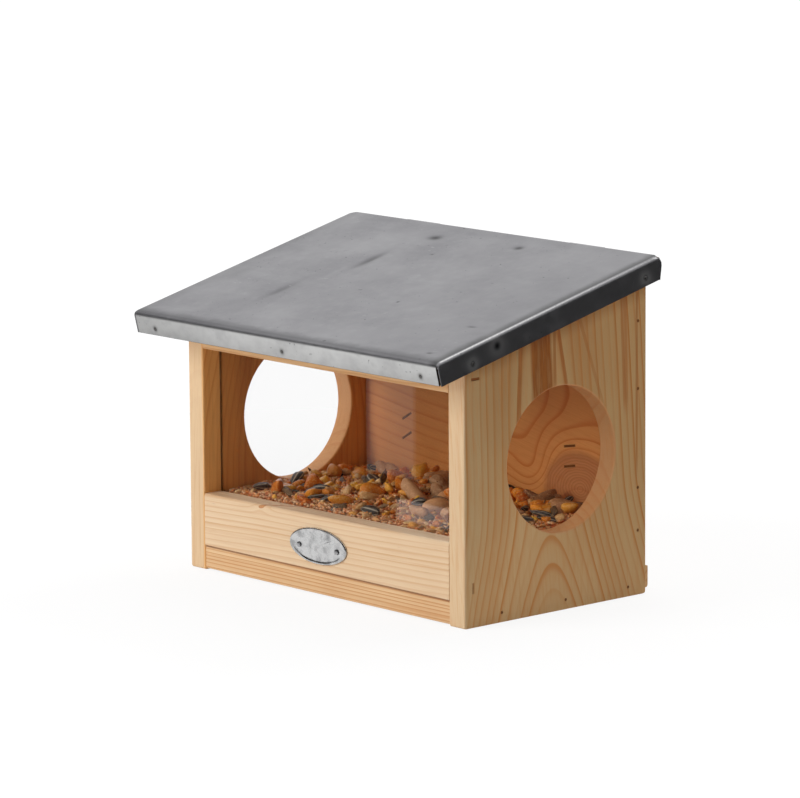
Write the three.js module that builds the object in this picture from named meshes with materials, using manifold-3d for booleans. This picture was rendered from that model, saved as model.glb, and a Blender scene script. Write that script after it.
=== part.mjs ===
// Squirrel feeder box: a pine box with a round way in through each side wall, a clear front window,
// a floor heaped with feed, and a sloping roof under a folded zinc sheet, hinged along the back.
// Millimetres, +Z up, front towards -Y. The pieces are drawn with their origin at the middle of the
// box's front face, on the ground. The whole part then moves so that its origin is the bottom centre
// of the space that it fills.

import * as THREE from "three";
import { mergeVertices } from "three/addons/utils/BufferGeometryUtils.js";
import Module from "manifold-3d";

const wasm = await Module();
wasm.setup();

// Clearances, shared by every joint between two pieces
const JOINT_GAP = 0.1; // between boards and plates that are butted or laid face to face
const SEAT_GAP = 0.3; // between pieces that rest on each other and come apart in use
const FASTENER_GAP = 0.15; // round each nail, screw and staple
const PIN_GAP = 0.15; // round the hinge pins
const OVERRUN = 1; // how far a cutter runs past the face that it cuts
const MERGE_DISTANCE = 1e-4; // corners of one mesh this close are one point

// Box: boards and their places
const BOARD_T = 12; // walls, back, front board and rail are one thickness
const BOARD_EDGE = 0.7; // easing of a sawn edge
const WALL_CORNER_R = 1.6; // side walls' corners, rounder than their edges
const BODY_W = 222.5; // over the side walls
const BODY_D = 131.5; // front to back of the side walls
const WALL_FRONT_H = 138.6; // side wall's top at its front edge
const FLOOR_T = 12.6;
const FLOOR_LIFT = 0.9; // floor's underside above the side walls' feet
const FLOOR_SETBACK = 0.6; // floor's front edge behind the front face
const FRONT_BOARD_LEFT_H = 29.1; // the front board's top falls a little to the left
const FRONT_BOARD_RIGHT_H = 30.9;
const FRONT_BOARD_TOP_R = 1.8; // worn round along the top
const RAIL_H = 15.6; // rail across the top of the front, at its front face

// Round ways in, one through each side wall
const HOLE_D = 78;
const HOLE_Y = 69.7; // centre behind the front face
const HOLE_Z = 81.1; // centre above the ground
const HOLE_RIM_R = 1; // rounding of both rims
const HOLE_SIDES = 72;
const RIM_STEPS = 3;

// Window: a clear sheet in a saw kerf down each side wall, behind the front board and the rail
const WINDOW_T = 2;
const WINDOW_SLACK = 0.25; // each side of the sheet in its kerf
const KERF_DEPTH = 4;
const WINDOW_HEADROOM = 1; // below the wall tops

// Roof board and the zinc sheet folded down over its four edges
const ROOF_SLOPE = THREE.MathUtils.degToRad(14);
const ROOF_BOARD_T = 11.5;
const ROOF_SIDE_OVERHANG = 12;
const ROOF_FRONT_OVERHANG = 28.8;
const SHEET_T = 0.6;
const SHEET_FOLD_R = 2.5; // outside the fold
const FOLD_STEPS = 3;
const FLANGE_LIP = 0.1; // how far the sheet's edge hangs below the board
const CORNER_SLIT = 0.6; // open seam between two flanges

// Battens on the back
const BATTEN_T = 12;
const BATTEN_EDGE = 1.6;
const SPACER_INSET = 10.75; // its ends from the side walls' outer faces
const SPACER_H = 12;
const HANGING_BATTEN_INSET = 19.25; // far enough in for the walls to hide its ends
const HANGING_BATTEN_H = 24;
const HANGING_BATTEN_Z = 58; // underside above the ground

// Hanger plates
const HANGER_T = 1.2;
const HANGER_W = 14;
const HANGER_H = 40;
const HANGER_INSET = 12; // middle of the plate from the batten's end
const HANGER_DROP = 4; // foot of the plate above the batten's underside
const HANGER_HOLE_R = 3.2;
const HANGER_STEPS = 6; // round a quarter of its top
const HANGER_SCREW_PITCH = 10;

// Butt hinges between the back wall and the roof's back edge
const HINGE_L = 30;
const HINGE_INSET = 46; // middle of the hinge from the side wall's outer face
const LEAF_W = 12; // pin's axis to the leaf's far edge
const LEAF_T = 1;
const LEAF_CORNER_R = 2;
const HINGE_PIN_R = 1;
const KNUCKLE_WALL = 1.05;
const KNUCKLE_GAP = 0.3; // between neighbouring knuckles
const KNUCKLE_SIDES = 16;
const HINGE_SCREW_PITCH = 18;

// Badge on the front board
const BADGE_W = 46;
const BADGE_H = 19.6;
const BADGE_T = 0.9;
const BADGE_RIM_W = 2;
const BADGE_RIM_T = 0.5;
const BADGE_X = -3.7;
const BADGE_Z = 27.3;
const BADGE_STEPS = 24; // round half the oval
const BADGE_NAIL_PITCH = 30.5;
const BADGE_NAIL_DROP = 1;

// Feed heaped on the floor
const FEED_DEPTH = 29; // level of the heap along the side walls, above the floor
const FEED_GAP = 0.5; // to the walls round it
const FEED_STEPS_X = 20;
const FEED_STEPS_Y = 12;
const FEED_CREST = 7; // height of the main heap above the level
const FEED_SIDE_CREST = 3; // and of the smaller heap at the right

// Fasteners
const BRAD = { shankR: 0.8, headR: 0.8, headT: 0.4, length: 29, sunk: 0.2 };
const SPACER_NAIL_CLEARANCE = 7; // from the floor nails' points to the outer spacer nails
const SPACER_NAIL = { shankR: 1, headR: 1, headT: 0.5, length: 28, sunk: 0.2 };
const BADGE_NAIL = { shankR: 0.7, headR: 1.5, headT: 0.6, length: 8, sunk: 0 };
const WOOD_SCREW = { shankR: 1.2, headR: 2.4, headT: 1, length: 9 };
const SCREW_SLOT_W = 0.6;
const SCREW_SLOT_D = 0.4;
const NAIL_SIDES = 8;
const SCREW_SIDES = 12;
const FRAME_STAPLE = { crown: 5.4, wire: 1.2, length: 24, sunk: 0.3 };
const BATTEN_STAPLE = { crown: 8.6, wire: 1.1, length: 18, sunk: 0.2 };
const BATTEN_STAPLE_INSET = 27; // from the hanging batten's end
const BATTEN_STAPLE_PITCH = 11;
const BATTEN_STAPLE_TILTS = [THREE.MathUtils.degToRad(31), THREE.MathUtils.degToRad(10)]; // left, right

// Places of the nails, as shares of the board that they go into
const BACK_WALL_NAIL_SHARES = [0.14, 0.29, 0.635, 0.87]; // of the back wall's height
const FLOOR_NAIL_SHARES = [0.2, 0.55, 0.9]; // of the floor's depth
const FLOOR_NAIL_HEIGHT_SHARE = 0.35;
const RAIL_STAPLE_SHARE = 0.67; // of the rail's thickness, from the front
const FRONT_BOARD_STAPLE_SHARE = 0.24; // of the front board's height

// Heaps of the feed: across and along the floor, then their spreads, as shares of its sides
const FEED_HEAP_SHARES = { x: 0.44, y: 0.72, spreadX: 0.2, spreadY: 0.34 };
const FEED_SIDE_HEAP_SHARES = { x: 0.9, y: 0.8, spreadX: 0.12, spreadY: 0.25 };

// Worked out from the sizes above
const INNER_W = BODY_W - 2 * BOARD_T;
const FITTED_W = INNER_W - 2 * JOINT_GAP; // boards that stand between the side walls
const SIDE_X = (BODY_W - BOARD_T) / 2; // middle of a side wall
const FLOOR_TOP = FLOOR_LIFT + FLOOR_T;
const ON_FLOOR = FLOOR_TOP + JOINT_GAP;
const BACK_Y = BODY_D - BOARD_T; // inner face of the back wall
const RISE = Math.tan(ROOF_SLOPE);
const ROOF_W = BODY_W + 2 * ROOF_SIDE_OVERHANG;
const BOARD_INSET = SHEET_T + SEAT_GAP; // from the sheet's outside to the roof board
const ROOF_DEPTH = BOARD_INSET + ROOF_BOARD_T; // sheet's top to the board's underside
const FLANGE_H = ROOF_DEPTH + FLANGE_LIP;
const ROOF_TOP_Z = WALL_FRONT_H + (ROOF_DEPTH + SEAT_GAP) / Math.cos(ROOF_SLOPE);
const KNUCKLE_R = HINGE_PIN_R + PIN_GAP + KNUCKLE_WALL;
const PIN_Y = BODY_D + JOINT_GAP + KNUCKLE_R;
const PIN_Z = wallTop(BODY_D) + SEAT_GAP / 2;
const BATTEN_Y = BODY_D + JOINT_GAP;
const BATTEN_BACK_Y = BATTEN_Y + BATTEN_T;
const SPACER_L = BODY_W - 2 * SPACER_INSET;
const HANGING_BATTEN_L = BODY_W - 2 * HANGING_BATTEN_INSET;

const PINE = new THREE.MeshStandardMaterial({ color: 0xc79a63, roughness: 0.7, metalness: 0 });
const PALE_PINE = new THREE.MeshStandardMaterial({ color: 0xdcb98c, roughness: 0.7, metalness: 0 });
const ZINC = new THREE.MeshStandardMaterial({ color: 0x8f9092, roughness: 0.5, metalness: 0.8 });
const STEEL = new THREE.MeshStandardMaterial({ color: 0xb4b6b8, roughness: 0.35, metalness: 1 });
const ACRYLIC = new THREE.MeshStandardMaterial({
  color: 0xeef3f4, roughness: 0.05, metalness: 0, transparent: true, opacity: 0.25,
});
const FEED = new THREE.MeshStandardMaterial({ color: 0x9a5a2a, roughness: 0.8, metalness: 0 });

// Height of the side walls' sloping top at a distance y behind the front face
function wallTop(y) {
  return WALL_FRONT_H + y * RISE;
}

// Closed geometry as a manifold solid
function solid(geometry) {
  const bare = geometry.clone();
  bare.deleteAttribute("normal");
  bare.deleteAttribute("uv");
  const merged = mergeVertices(bare, MERGE_DISTANCE);
  return new wasm.Manifold(new wasm.Mesh({
    numProp: 3,
    vertProperties: merged.getAttribute("position").array,
    triVerts: new Uint32Array(merged.index.array),
  }));
}

// Manifold solid back as a flat-shaded geometry
function geometryOf(body) {
  const { vertProperties, triVerts } = body.getMesh();
  const geometry = new THREE.BufferGeometry();
  geometry.setAttribute("position", new THREE.BufferAttribute(vertProperties, 3));
  geometry.setIndex(new THREE.BufferAttribute(triVerts, 1));
  const flat = geometry.toNonIndexed();
  flat.computeVertexNormals();
  return flat;
}

function cut(geometry, tools) {
  return geometryOf(tools.reduce((body, tool) => body.subtract(solid(tool)), solid(geometry)));
}

function join(geometries) {
  return geometryOf(geometries.map(solid).reduce((body, next) => body.add(next)));
}

function overlapOf(first, second) {
  return geometryOf(solid(first).intersect(solid(second)));
}

// Named mesh in a material
function piece(name, geometry, material) {
  const mesh = new THREE.Mesh(geometry, material);
  mesh.name = name;
  return mesh;
}

// Outline through points [x, y, corner radius], each corner rounded by its radius
function outline(points) {
  const shape = new THREE.Shape();
  points.forEach(([x, y, r = 0], i) => {
    const corner = new THREE.Vector2(x, y);
    const [bx, by] = points.at(i - 1);
    const [ax, ay] = points[(i + 1) % points.length];
    const before = new THREE.Vector2(bx, by).sub(corner).setLength(r).add(corner);
    const after = new THREE.Vector2(ax, ay).sub(corner).setLength(r).add(corner);
    if (i === 0) shape.moveTo(before.x, before.y);
    else shape.lineTo(before.x, before.y);
    if (r > 0) shape.quadraticCurveTo(corner.x, corner.y, after.x, after.y);
  });
  shape.closePath();
  return shape;
}

// Outline in the plane of Y and Z, extruded along X about the middle, its end edges eased
function alongX(points, width, edge = 0, steps = FOLD_STEPS) {
  const eased = edge > 0
    ? { bevelEnabled: true, bevelThickness: edge, bevelSize: edge, bevelOffset: -edge, bevelSegments: 2 }
    : { bevelEnabled: false };
  const geometry = new THREE.ExtrudeGeometry(outline(points), {
    depth: width - 2 * edge, curveSegments: steps, ...eased,
  });
  geometry.translate(0, 0, edge - width / 2);
  return geometry.applyMatrix4(new THREE.Matrix4().makeBasis(
    new THREE.Vector3(0, 1, 0), new THREE.Vector3(0, 0, 1), new THREE.Vector3(1, 0, 0)));
}

// Outline in the plane of X and Z, extruded from y towards the back by depth
function alongY(shape, y, depth, segments = FOLD_STEPS) {
  const geometry = new THREE.ExtrudeGeometry(shape, { depth, bevelEnabled: false, curveSegments: segments });
  geometry.rotateX(Math.PI / 2);
  return geometry.translate(0, y + depth, 0);
}

// Box from its lowest to its highest corner
function block(low, high) {
  const size = high.map((value, i) => value - low[i]);
  const centre = high.map((value, i) => (value + low[i]) / 2);
  return new THREE.BoxGeometry(...size).translate(...centre);
}

// Solid turned about its own +Z axis from points [radius, height]
function turned(points, sides) {
  const profile = points.map(([r, z]) => new THREE.Vector2(r, z));
  return new THREE.LatheGeometry(profile, sides).rotateX(Math.PI / 2);
}

// Moves a fastener drawn with its head at the origin and its shank down -Z to a place and a direction
function driven(geometry, place, direction, turn = 0) {
  const aim = new THREE.Quaternion().setFromUnitVectors(
    new THREE.Vector3(0, 0, -1), new THREE.Vector3(...direction));
  const spin = new THREE.Quaternion().setFromAxisAngle(new THREE.Vector3(0, 0, 1), turn);
  return geometry.clone().applyQuaternion(spin).applyQuaternion(aim).translate(...place);
}

// Nail: the head's top is at the surface, or sunk below it; a gap makes it the cutter of its hole
function nail({ shankR, headR, headT, length, sunk }, gap = 0) {
  const top = gap > 0 ? OVERRUN : -sunk;
  const foot = Math.max(headT, sunk + headT);
  return turned([
    [0, -length - gap], [shankR + gap, -length - gap], [shankR + gap, -foot - gap],
    [headR + gap, -foot - gap], [headR + gap, top], [0, top],
  ], NAIL_SIDES);
}

// Nail whose head stands on the surface, with only the shank in the pieces
function standingNail({ shankR, headR, headT, length }) {
  return turned([
    [0, -length], [shankR, -length], [shankR, JOINT_GAP], [headR, JOINT_GAP],
    [headR, JOINT_GAP + headT / 2], [headR / 2, JOINT_GAP + headT], [0, JOINT_GAP + headT],
  ], NAIL_SIDES);
}

function shankHole({ shankR, length }) {
  return turned([
    [0, -length - FASTENER_GAP], [shankR + FASTENER_GAP, -length - FASTENER_GAP],
    [shankR + FASTENER_GAP, OVERRUN], [0, OVERRUN],
  ], NAIL_SIDES);
}

// Countersunk wood screw with a slot, its head just under the surface
function woodScrew({ shankR, headR, headT, length }) {
  const top = -JOINT_GAP;
  const body = turned([
    [0, -length], [shankR, shankR - length], [shankR, top - headT], [headR, top], [0, top],
  ], SCREW_SIDES);
  const slot = block([-headR, -SCREW_SLOT_W / 2, top - SCREW_SLOT_D], [headR, SCREW_SLOT_W / 2, OVERRUN]);
  return cut(body, [slot]);
}

function screwHole({ shankR, headR, headT, length }) {
  const r = shankR + FASTENER_GAP;
  const wide = headR + FASTENER_GAP;
  return turned([
    [0, -length - FASTENER_GAP], [r, -length - FASTENER_GAP], [r, -JOINT_GAP - headT],
    [wide, -JOINT_GAP], [wide, OVERRUN], [0, OVERRUN],
  ], SCREW_SIDES);
}

// Staple: a flat crown with two legs; a gap makes it the cutter of its slot
function staple({ crown, wire, length, sunk }, gap = 0) {
  const out = crown / 2 + gap;
  const inside = crown / 2 - wire - gap;
  const top = gap > 0 ? OVERRUN : -sunk;
  const under = -sunk - wire - gap;
  const shape = outline([
    [-out, -length - gap], [-inside, -length - gap], [-inside, under], [inside, under],
    [inside, -length - gap], [out, -length - gap], [out, top], [-out, top],
  ]);
  return alongY(shape, -wire / 2 - gap, wire + 2 * gap);
}

// Places of the fasteners, each {place, direction, turn}

function mirrored(list) {
  return [-1, 1].flatMap((side) => list.map(({ y, z, turn = 0 }) => ({
    side, place: [side * BODY_W / 2, y, z], direction: [-side, 0, 0], turn,
  })));
}

function backWallNailPlaces() {
  const height = wallTop(BACK_Y) - ON_FLOOR;
  return mirrored(BACK_WALL_NAIL_SHARES.map((share) => ({
    y: BACK_Y + BOARD_T / 2, z: ON_FLOOR + share * height,
  })));
}

function floorNailPlaces() {
  return mirrored(FLOOR_NAIL_SHARES.map((share) => ({
    y: share * BODY_D, z: FLOOR_LIFT + FLOOR_NAIL_HEIGHT_SHARE * FLOOR_T,
  })));
}

function frameStaplePlaces() {
  const railZ = wallTop(0) - RAIL_H / 2;
  const boardZ = ON_FLOOR + FRONT_BOARD_STAPLE_SHARE * FRONT_BOARD_RIGHT_H;
  return mirrored([
    { y: RAIL_STAPLE_SHARE * BOARD_T, z: railZ, turn: Math.PI / 2 },
    { y: BOARD_T / 2, z: boardZ, turn: 0 },
  ]);
}

function battenStaplePlaces() {
  const middle = HANGING_BATTEN_Z + HANGING_BATTEN_H / 2;
  return BATTEN_STAPLE_TILTS.flatMap((tilt, i) => [-1, 1].map((level) => ({
    place: [
      (2 * i - 1) * (HANGING_BATTEN_L / 2 - BATTEN_STAPLE_INSET), BACK_Y,
      middle + level * BATTEN_STAPLE_PITCH / 2,
    ],
    direction: [0, 1, 0],
    turn: tilt,
  })));
}

function spacerNailPlaces() {
  const outer = BODY_W / 2 - BRAD.length - SPACER_NAIL_CLEARANCE;
  return [-1, 0, 1].map((side) => ({
    place: [side * outer, BATTEN_BACK_Y, SPACER_H / 2], direction: [0, -1, 0],
  }));
}

function badgeNailPlaces() {
  return [-1, 1].map((side) => ({
    place: [BADGE_X + side * BADGE_NAIL_PITCH / 2, -JOINT_GAP - BADGE_T, BADGE_Z - BADGE_NAIL_DROP],
    direction: [0, 1, 0],
  }));
}

function hangerXs() {
  return [-1, 1].map((side) => side * (HANGING_BATTEN_L / 2 - HANGER_INSET));
}

function hangerScrewPlaces(x) {
  const plateY = BATTEN_BACK_Y + JOINT_GAP + HANGER_T;
  const middle = HANGING_BATTEN_Z + HANGING_BATTEN_H / 2;
  return [-1, 1].map((level) => ({
    place: [x, plateY, middle + level * HANGER_SCREW_PITCH / 2], direction: [0, -1, 0],
  }));
}

function hingeXs() {
  return [-1, 1].map((side) => side * (BODY_W / 2 - HINGE_INSET));
}

// Screws of one leaf; the wall leaf hangs down from the pin and the roof leaf stands up from it
function leafScrewPlaces(x, up) {
  const middle = (KNUCKLE_R + KNUCKLE_GAP + LEAF_W) / 2;
  return [-1, 1].map((side) => ({
    place: [x + side * HINGE_SCREW_PITCH / 2, BODY_D + JOINT_GAP + LEAF_T, PIN_Z + up * middle],
    direction: [0, -1, 0],
  }));
}

function placed(places, geometry) {
  return places.map(({ place, direction, turn }) => driven(geometry, place, direction, turn));
}

// One mesh for each place of a kind of fastener, numbered from 1
function fasteners(name, places, geometry) {
  return placed(places, geometry).map((copy, i) => piece(`${name}_${i + 1}`, copy, STEEL));
}

// Box pieces

// Cutter of the round way in, with both rims rounded over, along X
function wayInCutter() {
  const r = HOLE_D / 2;
  const half = BOARD_T / 2;
  const rim = Array.from({ length: RIM_STEPS + 1 }, (_, i) => {
    const a = (i / RIM_STEPS) * Math.PI / 2;
    return [r + HOLE_RIM_R * (1 - Math.cos(a)), half - HOLE_RIM_R * (1 - Math.sin(a))];
  });
  const wide = r + HOLE_RIM_R;
  const upper = [...rim, [wide, half + OVERRUN], [0, half + OVERRUN]];
  const lower = upper.map(([radius, z]) => [radius, -z]).reverse();
  return turned([...lower, ...upper], HOLE_SIDES).rotateY(Math.PI / 2).translate(0, HOLE_Y, HOLE_Z);
}

function windowY() {
  return BOARD_T + WINDOW_SLACK;
}

// Side wall, drawn about its own middle plane; side is -1 at the left and 1 at the right
function sideWall(side) {
  const blank = alongX([
    [0, 0, WALL_CORNER_R], [BODY_D, 0, WALL_CORNER_R],
    [BODY_D, wallTop(BODY_D), WALL_CORNER_R], [0, wallTop(0), WALL_CORNER_R],
  ], BOARD_T, BOARD_EDGE);
  const kerfWidth = WINDOW_T + 2 * WINDOW_SLACK;
  const innerX = -side * BOARD_T / 2;
  const kerfX = [innerX + side * KERF_DEPTH, innerX - side * OVERRUN].sort((a, b) => a - b);
  const kerf = block(
    [kerfX[0], BOARD_T, -OVERRUN], [kerfX[1], BOARD_T + kerfWidth, wallTop(BODY_D) + OVERRUN]);
  const holes = [
    ...sideFastenerHoles(side),
    wayInCutter().translate(side * SIDE_X, 0, 0),
  ].map((tool) => tool.translate(-side * SIDE_X, 0, 0));
  const mesh = piece(side < 0 ? "left_wall" : "right_wall", cut(blank, [kerf, ...holes]), PINE);
  mesh.position.x = side * SIDE_X;
  return mesh;
}

// Holes of every fastener that goes in through one side wall
function sideFastenerHoles(side) {
  const here = (places) => places.filter((spot) => spot.side === side);
  return [
    ...placed(here([...backWallNailPlaces(), ...floorNailPlaces()]), nail(BRAD, FASTENER_GAP)),
    ...placed(here(frameStaplePlaces()), staple(FRAME_STAPLE, FASTENER_GAP)),
  ];
}

function backWall() {
  const blank = alongX([
    [BACK_Y, ON_FLOOR, BOARD_EDGE], [BODY_D, ON_FLOOR, BOARD_EDGE],
    [BODY_D, wallTop(BODY_D), BOARD_EDGE], [BACK_Y, wallTop(BACK_Y), BOARD_EDGE],
  ], FITTED_W);
  return piece("back_wall", cut(blank, [
    ...placed(backWallNailPlaces(), nail(BRAD, FASTENER_GAP)),
    ...placed(battenStaplePlaces(), staple(BATTEN_STAPLE, FASTENER_GAP)),
    ...placed(hingeXs().flatMap((x) => leafScrewPlaces(x, -1)), screwHole(WOOD_SCREW)),
  ]), PINE);
}

function floorBoard() {
  const blank = alongX([
    [FLOOR_SETBACK, FLOOR_LIFT, BOARD_EDGE], [BODY_D, FLOOR_LIFT, BOARD_EDGE],
    [BODY_D, FLOOR_TOP, BOARD_EDGE], [FLOOR_SETBACK, FLOOR_TOP, BOARD_EDGE],
  ], FITTED_W);
  return piece("floor_board", cut(blank, [
    ...placed(floorNailPlaces(), nail(BRAD, FASTENER_GAP)),
    ...placed(spacerNailPlaces(), nail(SPACER_NAIL, FASTENER_GAP)),
  ]), PALE_PINE);
}

// Front board, its top tilted between its heights at the two ends
function frontBoard() {
  const middle = (FRONT_BOARD_LEFT_H + FRONT_BOARD_RIGHT_H) / 2;
  const blank = alongX([
    [0, ON_FLOOR, BOARD_EDGE], [BOARD_T, ON_FLOOR, BOARD_EDGE],
    [BOARD_T, ON_FLOOR + middle, BOARD_EDGE], [0, ON_FLOOR + middle, FRONT_BOARD_TOP_R],
  ], FITTED_W);
  const tilt = (FRONT_BOARD_RIGHT_H - FRONT_BOARD_LEFT_H) / FITTED_W;
  const corners = blank.getAttribute("position");
  for (let i = 0; i < corners.count; i += 1) {
    if (corners.getZ(i) > ON_FLOOR + middle / 2) corners.setZ(i, corners.getZ(i) + tilt * corners.getX(i));
  }
  return piece("front_board", cut(blank, [
    ...placed(frameStaplePlaces(), staple(FRAME_STAPLE, FASTENER_GAP)),
    ...placed(badgeNailPlaces(), shankHole(BADGE_NAIL)),
  ]), PALE_PINE);
}

function topRail() {
  const bottom = wallTop(0) - RAIL_H;
  const blank = alongX([
    [0, bottom, BOARD_EDGE], [BOARD_T, bottom, BOARD_EDGE],
    [BOARD_T, wallTop(BOARD_T), BOARD_EDGE], [0, wallTop(0), BOARD_EDGE],
  ], FITTED_W);
  const slots = placed(frameStaplePlaces(), staple(FRAME_STAPLE, FASTENER_GAP));
  return piece("top_rail", cut(blank, slots), PALE_PINE);
}

function windowPane() {
  const half = INNER_W / 2 + KERF_DEPTH - WINDOW_SLACK;
  const top = wallTop(BOARD_T) - WINDOW_HEADROOM;
  return piece("window_pane", block(
    [-half, windowY(), ON_FLOOR], [half, windowY() + WINDOW_T, top]), ACRYLIC);
}

// Batten on the back, with its lower back edge worn round
function batten(name, length, bottom, height, tools) {
  const blank = alongX([
    [BATTEN_Y, bottom, BOARD_EDGE], [BATTEN_BACK_Y, bottom, BATTEN_EDGE],
    [BATTEN_BACK_Y, bottom + height, BOARD_EDGE], [BATTEN_Y, bottom + height, BOARD_EDGE],
  ], length);
  return piece(name, cut(blank, tools), PINE);
}

function spacerBatten() {
  const holes = placed(spacerNailPlaces(), nail(SPACER_NAIL, FASTENER_GAP));
  return batten("spacer_batten", SPACER_L, 0, SPACER_H, holes);
}

function hangingBatten() {
  return batten("hanging_batten", HANGING_BATTEN_L, HANGING_BATTEN_Z, HANGING_BATTEN_H, [
    ...placed(battenStaplePlaces(), staple(BATTEN_STAPLE, FASTENER_GAP)),
    ...placed(hangerXs().flatMap(hangerScrewPlaces), screwHole(WOOD_SCREW)),
  ]);
}

// Hanger plate, standing up past the hanging batten, with a round top and a hole to hang by
function hanger(name, x) {
  const half = HANGER_W / 2;
  const shape = outline([
    [-half, 0, LEAF_CORNER_R], [half, 0, LEAF_CORNER_R], [half, HANGER_H, half], [-half, HANGER_H, half],
  ]);
  const hole = new THREE.Path().absarc(0, HANGER_H - half, HANGER_HOLE_R, 0, 2 * Math.PI, true);
  shape.holes.push(hole);
  const foot = HANGING_BATTEN_Z + HANGER_DROP;
  const y = BATTEN_BACK_Y + JOINT_GAP;
  const plate = alongY(shape, y, HANGER_T, HANGER_STEPS).translate(x, 0, foot);
  return piece(name, cut(plate, placed(hangerScrewPlaces(x), screwHole(WOOD_SCREW))), STEEL);
}

// Badge: a bare oval plate with a raised rim, nailed at both ends
function oval(width, height) {
  return new THREE.Shape().absellipse(0, 0, width / 2, height / 2, 0, 2 * Math.PI);
}

function badge() {
  const plate = alongY(oval(BADGE_W, BADGE_H), -JOINT_GAP - BADGE_T, BADGE_T, BADGE_STEPS);
  const face = -JOINT_GAP - BADGE_T;
  const rim = cut(
    alongY(oval(BADGE_W, BADGE_H), face - BADGE_RIM_T, BADGE_RIM_T + BADGE_T / 2, BADGE_STEPS),
    [alongY(oval(BADGE_W - 2 * BADGE_RIM_W, BADGE_H - 2 * BADGE_RIM_W),
      face - BADGE_RIM_T - OVERRUN, BADGE_RIM_T + BADGE_T + 2 * OVERRUN, BADGE_STEPS)]);
  const whole = join([plate, rim]).translate(BADGE_X, 0, BADGE_Z);
  return piece("badge", cut(whole, placed(badgeNailPlaces(), shankHole(BADGE_NAIL))), STEEL);
}

// Heap of feed: a slab whose top follows two heaps over a level
function feedLevel(x, y, width, depth) {
  const heap = ({ x: sx, y: sy, spreadX, spreadY }) => Math.exp(
    -(((x / width + 0.5 - sx) / spreadX) ** 2) - (((y / depth + 0.5 - sy) / spreadY) ** 2));
  return FEED_DEPTH + FEED_CREST * heap(FEED_HEAP_SHARES) + FEED_SIDE_CREST * heap(FEED_SIDE_HEAP_SHARES);
}

function feedMix() {
  const front = windowY() + WINDOW_T + FEED_GAP;
  const depth = BACK_Y - FEED_GAP - front;
  const width = INNER_W - 2 * FEED_GAP;
  const slab = new THREE.BoxGeometry(width, depth, FEED_DEPTH, FEED_STEPS_X, FEED_STEPS_Y, 1);
  const points = slab.getAttribute("position");
  for (let i = 0; i < points.count; i += 1) {
    const top = points.getZ(i) > 0;
    points.setZ(i, top ? feedLevel(points.getX(i), points.getY(i), width, depth) : 0);
  }
  const mesh = piece("feed_mix", slab, FEED);
  mesh.position.set(0, front + depth / 2, FLOOR_TOP + SEAT_GAP);
  return mesh;
}

// Hinges

// Span of a knuckle along X: the wall leaf has the two outer ones and the roof leaf the middle one
function knuckleSpans(up) {
  const third = HINGE_L / 3;
  const half = third / 2 - KNUCKLE_GAP / 2;
  return up > 0 ? [[-half, half]] : [[-HINGE_L / 2, -third / 2 - KNUCKLE_GAP / 2],
    [third / 2 + KNUCKLE_GAP / 2, HINGE_L / 2]];
}

// Leaf about the pin's axis: up is 1 for the roof leaf and -1 for the wall leaf
function leaf(name, x, up) {
  const near = KNUCKLE_R + KNUCKLE_GAP;
  const half = HINGE_L / 2;
  const plate = alongY(outline([
    [-half, near], [half, near], [half, LEAF_W, LEAF_CORNER_R], [-half, LEAF_W, LEAF_CORNER_R],
  ]), -KNUCKLE_R, LEAF_T);
  if (up < 0) plate.rotateY(Math.PI);
  const knuckles = knuckleSpans(up).flatMap(([from, to]) => {
    const barrel = new THREE.CylinderGeometry(KNUCKLE_R, KNUCKLE_R, to - from, KNUCKLE_SIDES)
      .rotateZ(Math.PI / 2).translate((from + to) / 2, 0, 0);
    const reach = [0, up * (near + LEAF_CORNER_R)].sort((a, b) => a - b);
    const tab = block([from, -KNUCKLE_R, reach[0]], [to, LEAF_T - KNUCKLE_R, reach[1]]);
    return [barrel, tab];
  });
  const bore = new THREE.CylinderGeometry(
    HINGE_PIN_R + PIN_GAP, HINGE_PIN_R + PIN_GAP, HINGE_L + 2 * OVERRUN, KNUCKLE_SIDES).rotateZ(Math.PI / 2);
  const screws = placed(leafScrewPlaces(x, up), screwHole(WOOD_SCREW))
    .map((tool) => tool.translate(-x, -PIN_Y, -PIN_Z));
  const mesh = piece(name, cut(join([plate, ...knuckles]), [bore, ...screws]), STEEL);
  mesh.position.set(x, PIN_Y, PIN_Z);
  return mesh;
}

function hingePin(name, x) {
  const geometry = new THREE.CylinderGeometry(HINGE_PIN_R, HINGE_PIN_R, HINGE_L, KNUCKLE_SIDES);
  const mesh = piece(name, geometry.rotateZ(Math.PI / 2), STEEL);
  mesh.position.set(x, PIN_Y, PIN_Z);
  return mesh;
}

// Roof, drawn in its own frame: Y runs up the slope, Z is square to the sheet and zero at its top

function roofFrontY() {
  return -ROOF_FRONT_OVERHANG / Math.cos(ROOF_SLOPE);
}

// The back edge is cut upright, flush with the back wall, so it leans in the roof's own frame
function roofBackY(z) {
  return (BODY_D + z * Math.sin(ROOF_SLOPE)) / Math.cos(ROOF_SLOPE);
}

// Block under the roof's outside, set in by inset all round, with round upper edges, down to depth
function roofBlock(inset, depth) {
  const r = SHEET_FOLD_R - inset;
  const backInset = inset / Math.cos(ROOF_SLOPE);
  const side = ROOF_W / 2 - inset;
  const lengthwise = alongX([
    [roofFrontY() + inset, -depth], [roofBackY(-depth) - backInset, -depth],
    [roofBackY(-inset) - backInset, -inset, r], [roofFrontY() + inset, -inset, r],
  ], ROOF_W + 2 * OVERRUN);
  const across = alongY(
    outline([[-side, -depth], [side, -depth], [side, -inset, r], [-side, -inset, r]]),
    roofFrontY() - OVERRUN, roofBackY(0) - roofFrontY() + 2 * OVERRUN);
  return overlapOf(lengthwise, across);
}

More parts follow.
